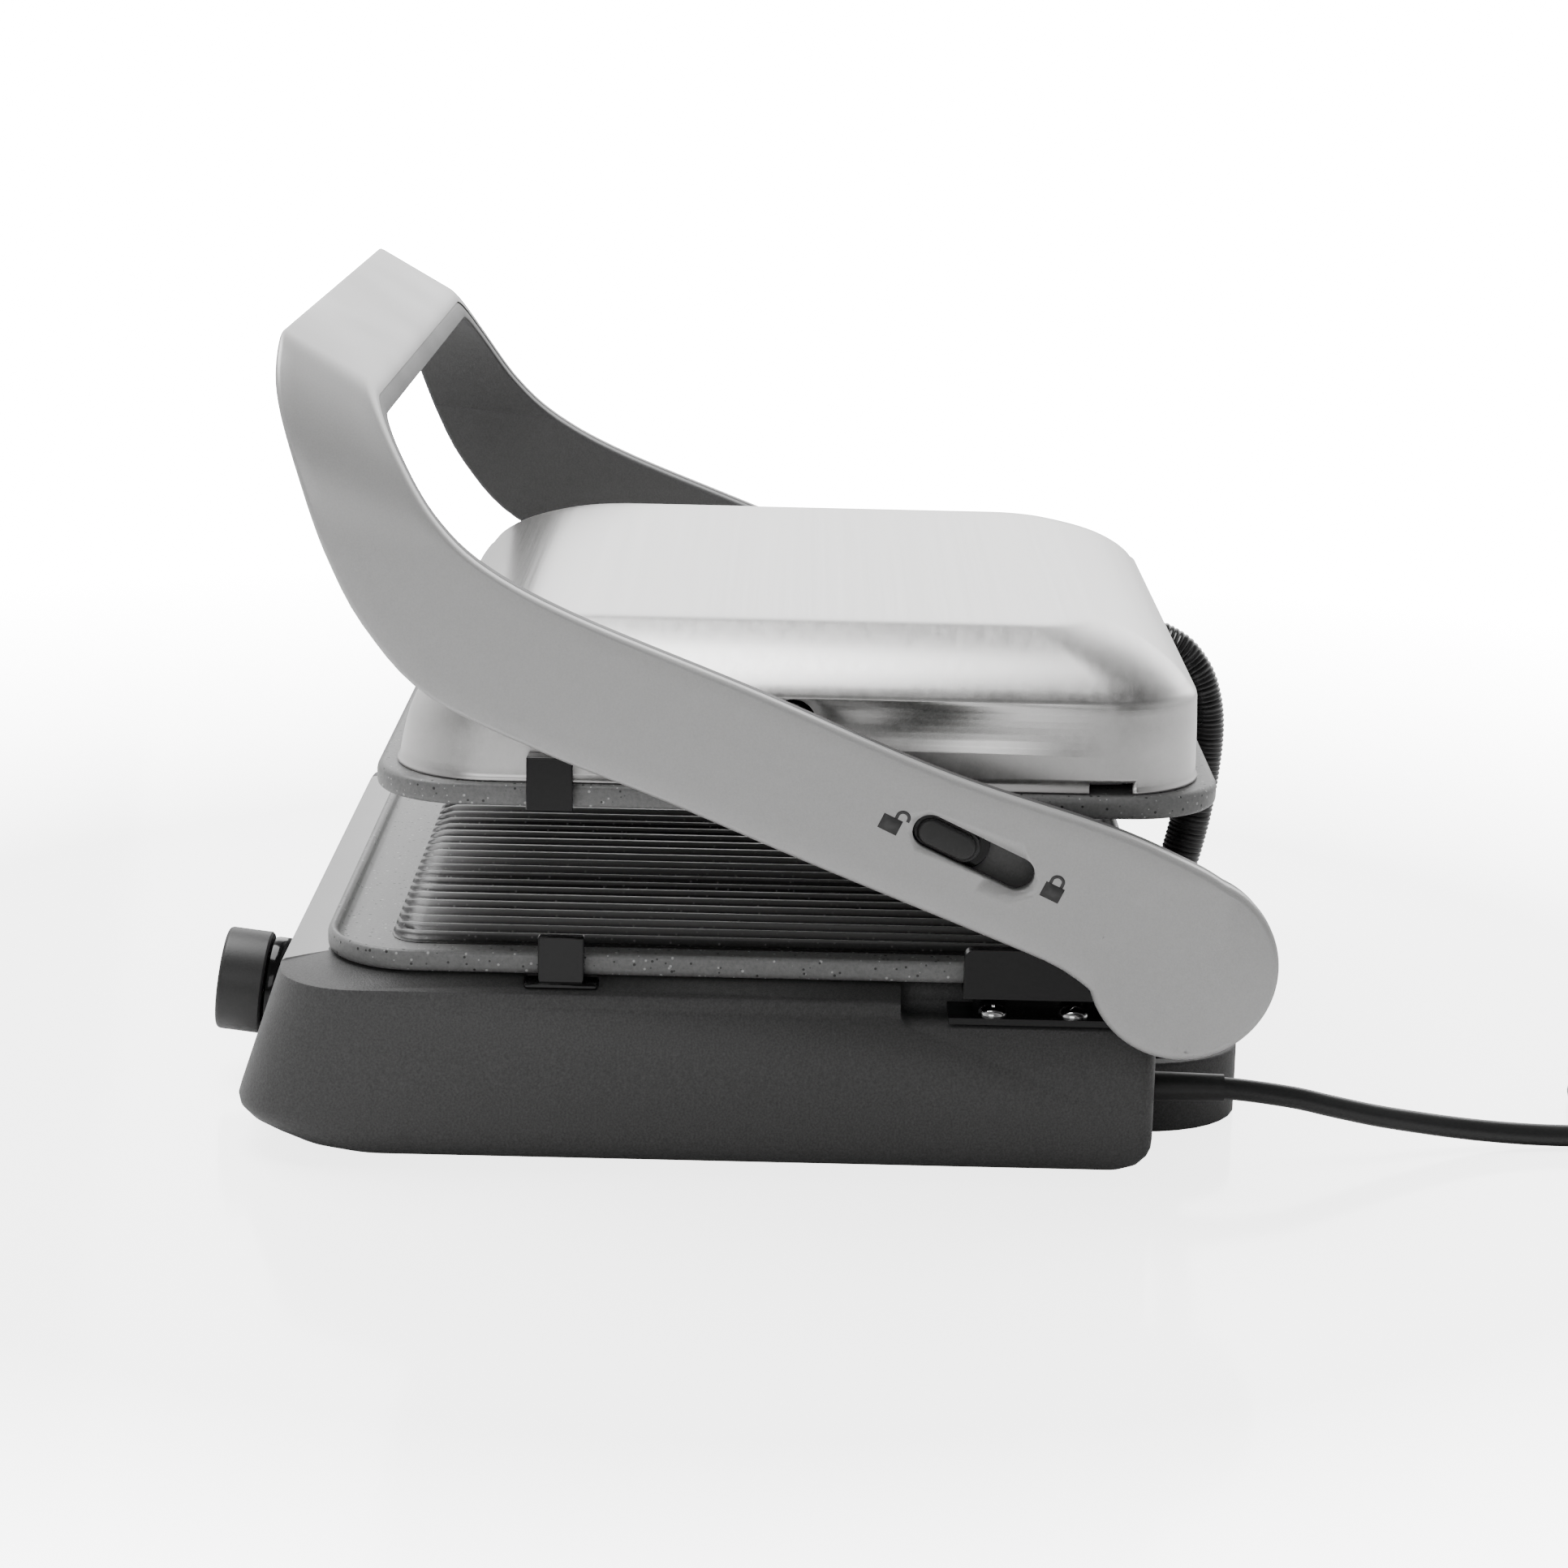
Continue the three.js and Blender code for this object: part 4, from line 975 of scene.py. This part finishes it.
def pill(name, length, width, offset, x_inner, x_outer, rim=0.0, sides=20):
    """A round-ended bar lying along the arm, its outer rim rounded by `rim`."""
    straight = (length - width) / 2
    angle = np.linspace(-math.pi / 2, math.pi / 2, sides)
    steps = [(x_inner, 0.0)]
    if rim:
        for a in np.linspace(0, math.pi / 2, 6):
            steps.append((x_outer - rim + rim * math.sin(a), rim * (1 - math.cos(a))))
    else:
        steps.append((x_outer, 0.0))
    rings = []
    for x, inset in steps:
        r = width / 2 - inset
        one = np.stack([straight + r * np.cos(angle), r * np.sin(angle)], -1)
        flat = np.vstack([one, -one]) + np.array([offset, 0])
        c, s = math.cos(SLOT_TILT), math.sin(SLOT_TILT)
        y = SLOT_AT[0] + c * flat[:, 0] - s * flat[:, 1]
        z = SLOT_AT[1] + s * flat[:, 0] + c * flat[:, 1]
        rings.append(np.column_stack([np.full(len(flat), x), y, z]))
    return rings_mesh(name, rings)


carve(yoke, pill("slot_tool", SLOT_LENGTH, SLOT_WIDTH, 0, shell_inner - 3, arm_outer + 3))
install(yoke, silver_paint, "handle_yoke")
print("yoke faces:", len(yoke.data.polygons))

# %% Dark liners
SEAM = 0.7  # the dark gap that shows between the shell and the liner
liner_section = rounded_section(SHELL + SEAM, THICK, 0.8, 1.6, inset=0.5)
seam_station = 1 + (2 / math.pi) * 0.06 / SHOULDER_DROP
arm_part = stations[stations <= 1]
grip_part = np.r_[seam_station, stations[stations > 1]]
arm_rings = strap_rings(liner_section, arm_part)
liner_outer = arm_outer - SHELL - SEAM
for side, name in ((1, "right"), (-1, "left")):
    rings = arm_rings * np.array([side, 1, 1.0])
    liner = rings_mesh(f"arm_liner_{name}_moulding", rings)
    disc = hub_disc("liner_hub", side * liner_outer, side * arm_inner, HUB_R - 0.5, 1.4)
    carve(liner, disc, operation="UNION")
    bore = turned(
        "bore",
        [(0.01, -9), (5.4, -9), (5.4, 5.5), (0.01, 5.5)],
        (side * arm_inner, 0, hinge_z),
        (side, 0, 0),
        32,
    )
    socket = turned(
        "socket",
        [(0.01, -9), (6.35, -9), (6.35, 4), (0.01, 4)],
        (side * arm_inner, pin_y, pin_z),
        (side, 0, 0),
        32,
    )
    carve(liner, bore, socket)
    if side == 1:
        carve(liner, pill("bolt_tool", 48, 16.7, 0, arm_inner + 3.5, arm_outer))
    install(liner, liner_plastic, f"arm_liner_{name}")
grip = rings_mesh("grip_liner_moulding", across_grip(strap_rings(liner_section, grip_part)))
install(grip, liner_plastic, "grip_liner")

# %% [markdown]
# ## The lock slider
# A dark slider sits in the slot, at its open end. A lower step fills the slot's width and a raised
# pill takes the thumb. Two small padlocks, open and closed, are printed on the arm beside it.

# %% Lock slider and its marks
BUTTON = 21.5
lock_end = SLOT_LENGTH / 2 - BUTTON / 2 - 0.35
slider_black = grained("black slider plastic", 0.010, 0.45, 1800, 0.03, 0.12)
step_piece = pill(
    "lock_slider_step", BUTTON, SLOT_WIDTH - 0.7, -lock_end, shell_inner - 0.3, arm_outer - 2.2, 0.5
)
thumb = pill(
    "thumb", BUTTON - 2.8, SLOT_WIDTH - 2.4, -lock_end, arm_outer - 3, arm_outer, 1.1
)
carve(step_piece, thumb, operation="UNION")
install(step_piece, slider_black, "lock_button")
bolt = copy_of("lock_bolt", 0.3)
install(bolt, gloss_black, "lock_bolt")

mark_ink = grained("dark printed mark", 0.045, 0.5, 600, 0.0, 0.06)


def padlock(name, at, shackle_open):
    """A generic padlock: a rectangle with a bent bar above it, laid flat on the arm."""
    body = [(-3.1, -3.6), (3.1, -3.6), (3.1, 1.2), (-3.1, 1.2)]
    shift = 2.6 if shackle_open else 0.0
    points, faces = list(body), [[0, 1, 2, 3]]
    angles = np.linspace(0, math.pi, 17)
    outer = [(2.3 * math.cos(a) + shift, 2.4 + 2.1 * math.sin(a)) for a in angles]
    inner = [(1.3 * math.cos(a) + shift, 2.4 + 1.1 * math.sin(a)) for a in angles]
    legs = 1.1
    for i in range(16):
        start = len(points)
        points += [outer[i], outer[i + 1], inner[i + 1], inner[i]]
        faces.append([start, start + 1, start + 2, start + 3])
    right_foot = 1.6 if shackle_open else legs
    for x0, x1, foot in (
        (shift + 1.3, shift + 2.3, right_foot),
        (shift - 2.3, shift - 1.3, legs),
    ):
        start = len(points)
        points += [(x0, foot), (x1, foot), (x1, 2.4), (x0, 2.4)]
        faces.append([start, start + 1, start + 2, start + 3])
    c, s = math.cos(SLOT_TILT), math.sin(SLOT_TILT)
    place = [
        (arm_outer + 0.06, at[0] + c * y - s * z, at[1] + s * y + c * z) for y, z in points
    ]
    mark = from_points(name, place, faces)
    thick = mark.modifiers.new("ink thickness", "SOLIDIFY")
    thick.thickness = 0.05 * MM
    thick.offset = 0
    return install(mark, mark_ink, body="handle")


padlock("open_padlock_mark", (-87.6, 118.4), True)
padlock("closed_padlock_mark", (-38.4, 98.4), False)

# %% [markdown]
# ## Knob and thermostat
# The knob is a soft dark cup with a rounded rim on a glossy collar. It looks up a little. A thin
# pointer line is cut into its face, and its side is plain.

# %% Knob and collar
TILT = math.radians(6.6)
knob_low, knob_high = node_box("control_knob")
knob_x = (knob_low[0] + knob_high[0]) / 2
KNOB_R, KNOB_LENGTH = (knob_high[0] - knob_low[0]) / 2, 15.0
axis = (0, math.cos(TILT), -math.sin(TILT))
face_y = knob_low[1] + KNOB_R * math.sin(TILT)
face_centre = (knob_x, face_y, 32.8)
rim = [
    (KNOB_R - 1.6 + 1.6 * math.sin(a), 1.6 - 1.6 * math.cos(a)) for a in np.linspace(0, math.pi / 2, 7)
]
knob_profile = [(0.01, 0.5), (KNOB_R - 4.5, 0.5), (KNOB_R - 3.2, 0.0), *rim]
knob_profile += [(KNOB_R, KNOB_LENGTH - 0.8), (KNOB_R - 0.6, KNOB_LENGTH - 0.1)]
knob_profile += [(KNOB_R - 1.6, KNOB_LENGTH), (3.6, KNOB_LENGTH), (3.6, 6), (0.01, 6)]
knob = turned("control_knob_cap", knob_profile, face_centre, axis, 96, 30)
pointer = block("pointer_groove", (-0.6, 0.6), (-2, 0.9), (4, KNOB_R + 1))
turn_and_place(pointer, -TILT, "X", face_centre)
carve(knob, pointer)
install(knob, knob_plastic, "control_knob")
collar = turned(
    "knob_collar_ring",
    [(4.2, KNOB_LENGTH + 0.35), (KNOB_R - 2.2, KNOB_LENGTH + 0.35), (KNOB_R - 1.6, KNOB_LENGTH + 0.9),
     (KNOB_R - 1.3, KNOB_LENGTH + 2), (KNOB_R - 1.3, KNOB_LENGTH + 15), (4.2, KNOB_LENGTH + 15)],
    face_centre,
    axis,
    96,
    30,
)
collar_body = stack_mesh("collar_tool", base_sections(base_steps), 18)
carve(collar, collar_body)
install(collar, gloss_black, "knob_collar")

# %% [markdown]
# ## Brackets, screws and pins
# Each bracket is a black steel ear that carries the arm's pin. Two pan head screws hold its foot.
# A pan head is a quarter ellipse turned about the screw's axis, with a cross cut into it.

# %% Brackets, screws and pins
for side in ("right", "left"):
    ear = copy_of(f"hinge_bracket_{side}", 0.7, segments=3, angle=40)
    install(ear, bracket_black, f"hinge_bracket_{side}")
    for number in (1, 2):
        node = f"bracket_screw_{side}_{number}"
        low, high = node_box(node)
        seat = high[2] - 3.7
        middle = (low + high) / 2
        head = [(0.01, -8), (2.2, -8), (2.2, 0), (4.55, 0), (4.7, 0.25)]
        head += [(4.7 * math.cos(a), 0.3 + 2.8 * math.sin(a)) for a in np.linspace(0.05, 1.5, 12)]
        head.append((0.01, 3.1))
        screw = turned(f"pan_head_{side}_{number}", head, (middle[0], middle[1], seat), (0, 0, 1), 40)
        turn_by = 0.5 + number
        for quarter in (0, math.pi / 2):
            bar = block("cross", (-2.7, 2.7), (-0.5, 0.5), (1.6, 5))
            turn_and_place(bar, turn_by + quarter, "Z", (middle[0], middle[1], seat))
            carve(screw, bar)
        install(screw, chrome, node)
    for node in (f"hinge_pin_{side}", f"lid_pin_{side}"):
        install(copy_of(node, 0.5), chrome, node)

# %% [markdown]
# ## Clips
# Four glossy clips hold the plates. Each is a small block with rounded corners and a lip that
# reaches into the plate's notch. The upper ones reach up on to the lid's skirt.


# %% Plate clips
for side in ("right", "left"):
    for level_name in ("lower", "upper"):
        node = f"clip_{level_name}_{side}"
        install(copy_of(node, 0.75, segments=4, angle=40), gloss_black, node)

# %% [markdown]
# ## The conduit
# A black corrugated conduit carries the leads for the upper element from the base to the lid,
# behind the hinge. It crosses three turning pieces, and is made in three thirds, one for each
# of the frame's conduit parts. Its radius is a row of ridges:
# r(s) = R - h (1 - |cos(pi s / p)|), with s the length along it and p the pitch.

# %% Corrugated conduit
CONDUIT_R, RIDGE, PITCH_C = 6.9, 0.55, 1.6
conduit_path = smooth_curve(
    [
        (0, -2.6, 38), (0, 4.5, 41), (0, 10.5, 49), (0, 15.6, 61), (0, 20.8, 84), (0, 23.3, 110),
        (0, 20.8, 126), (0, 14.8, 136), (0, 7.5, 141), (0, 0, 143.5),
    ],
    1801,
)
run = np.r_[0, np.cumsum(np.linalg.norm(np.diff(conduit_path, axis=0), axis=1))]
ridged = CONDUIT_R - RIDGE * (1 - np.abs(np.cos(math.pi * run / PITCH_C)))
for node, start, end, below, above_body in (
    ("conduit_lower", 0.03, 0.42, "base", "hinge_carrier"),
    ("conduit_middle", 0.42, 0.72, "hinge_carrier", "handle"),
    ("conduit_upper", 0.72, 0.97, "handle", "lid"),
):
    pick = slice(int(start * 1800), int(end * 1800) + 1, 4)
    part = conduit_path[pick]
    piece = tube(f"{node}_hose", part, ridged[pick], 36)
    piece.data.materials.clear()
    piece.data.materials.append(conduit_black)
    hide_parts(node)
    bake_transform(piece)

# %% [markdown]
# ## Cord posts, feet and what sits inside
# Two half-round posts stand behind the base to wind the lead on. Four rubber feet carry the press.
# Inside are the thermostat, a floor plate, two bent heating elements and a heat shield.

# %% Posts, feet, inside pieces
for side in ("right", "left"):
    post = copy_of(f"cord_post_{side}", 0.9, segments=4, angle=40)
    seat = (base_rear + hinge_y + 0.35) * MM
    for vertex in post.data.vertices:
        vertex.co.y = seat + (vertex.co.y - seat) * 1.18
    install(post, charcoal, f"cord_post_{side}")
    for end_name in ("front", "rear"):
        node = f"foot_{end_name}_{side}"
        low, high = node_box(node)
        middle = (low + high) / 2
        foot_profile = [
            (0.01, 0), (5.6, 0), (6.3, 0.3), (6.8, 0.8), (8, high[2]), (0.01, high[2]),
        ]
        foot = turned(f"{node}_pad", foot_profile, (middle[0], middle[1], 0), (0, 0, 1), 48)
        install(foot, foot_rubber, node)
for node, finish, width in (
    ("base_bottom", charcoal, 0.4),
    ("thermostat", gloss_black, 0.5),
    ("thermostat_shaft", chrome, 0.3),
    ("lower_heat_shield", shield_steel, 0.2),
    ("lid_frame", gloss_black, 0.4),
):
    install(copy_of(node, width), finish, node)
tab = block("conduit_clamp_tab", (-9, 9), (9.2, 13.5), (126, 127))
round_edges(tab, 0.3, 2)
install(tab, chrome, body="lid")
for node in ("lower_element", "upper_element"):
    install(copy_of(node, 0.01, segments=1, angle=80), element_metal, node)

# %% [markdown]
# ## Light and floor
# The press stands on a pale glossy floor in a white room. One broad soft light is overhead, a
# second one faces the right side and a third stands behind.

# %% Floor, world and lights
FLOOR_NEAR_GLOW, FLOOR_FAR_GLOW = 3.5, 30.0
BEHIND_WHITE, CAMERA_SIDE_WHITE, OVERHEAD_WHITE = 1.5, 0.14, 0.10
floor_mesh = bpy.data.meshes.new("floor")
floor_mesh.from_pydata([(-6, -6, 0), (6, -6, 0), (6, 6, 0), (-6, 6, 0)], [], [[0, 1, 2, 3]])
floor = new_object("floor", floor_mesh)
tiles = Finish("pale glossy floor", grey(0.9), 0.12, Specular_IOR_Level=0.5)
reach = tiles.node("ShaderNodeVectorMath", {0: tiles.place}, operation="LENGTH").outputs["Value"]
seen = tiles.node("ShaderNodeLightPath").outputs["Is Camera Ray"]
glow = tiles.span(reach, FLOOR_NEAR_GLOW, FLOOR_FAR_GLOW, 0.35, 1.6)
glow = tiles.node("ShaderNodeMath", {0: glow, 1: seen}, operation="MULTIPLY").outputs[0]
tiles.shader.inputs["Emission Color"].default_value = (1, 1, 1, 1)
tiles.set("Emission Strength", glow)
floor.data.materials.append(tiles.material)

world = bpy.data.worlds.new("white room")
bpy.context.scene.world = world
world.use_nodes = True
sky, wires = world.node_tree.nodes, world.node_tree.links


def sky_node(kind, links=None, **values):
    """Adds a node to the world; links hold other nodes' outputs or plain values."""
    made = sky.new(kind)
    for key, value in values.items():
        setattr(made, key, value)
    for socket, source in (links or {}).items():
        if hasattr(source, "links"):
            wires.new(source, made.inputs[socket])
        else:
            made.inputs[socket].default_value = source
    return made.outputs


direction = sky_node("ShaderNodeTexCoord")["Generated"]
sky["Background"].inputs["Color"].default_value = (1, 1, 1, 1)
parts = sky_node("ShaderNodeSeparateXYZ", {0: direction})
limits = {"From Min": -0.9, "From Max": 0.9, "To Min": BEHIND_WHITE, "To Max": CAMERA_SIDE_WHITE}
sideways = sky_node("ShaderNodeMapRange", {"Value": parts["X"], **limits})["Result"]
height = sky_node("ShaderNodeMath", {0: parts["Z"]}, operation="ABSOLUTE")[0]
limits = {"From Min": 0.45, "From Max": 0.85, "To Min": 0.0, "To Max": 1.0}
high_up = sky_node("ShaderNodeMapRange", {"Value": height, **limits})["Result"]
upper = sky_node("ShaderNodeMix", {0: high_up, 2: sideways, 3: OVERHEAD_WHITE})[0]
direct = sky_node("ShaderNodeLightPath")["Is Camera Ray"]
strength = sky_node("ShaderNodeMix", {0: direct, 2: upper, 3: FLOOR_FAR_GLOW})[0]
wires.new(strength, sky["Background"].inputs["Strength"])


def area_light(name, place, aim, size, power, tint=(1, 1, 1)):
    """A rectangular lamp at a place in metres that faces the aim point."""
    data = bpy.data.lights.new(name, "AREA")
    data.shape = "RECTANGLE"
    data.size, data.size_y = size
    data.energy = power
    data.color = tint
    lamp = bpy.data.objects.new(name, data)
    bpy.context.scene.collection.objects.link(lamp)
    lamp.location = place
    lamp.rotation_euler = (Vector(aim) - Vector(place)).to_track_quat("-Z", "Y").to_euler()
    return lamp


area_light("overhead", (-0.3, -0.5, 1.6), (0, 0, 0.1), (1.2, 1.2), 45)
area_light("side", (1.7, -0.4, 0.7), (0, 0, 0.1), (1.0, 0.8), 6)
area_light("behind", (-1.5, 0.4, 0.7), (0, 0, 0.2), (2.0, 0.8), 12)
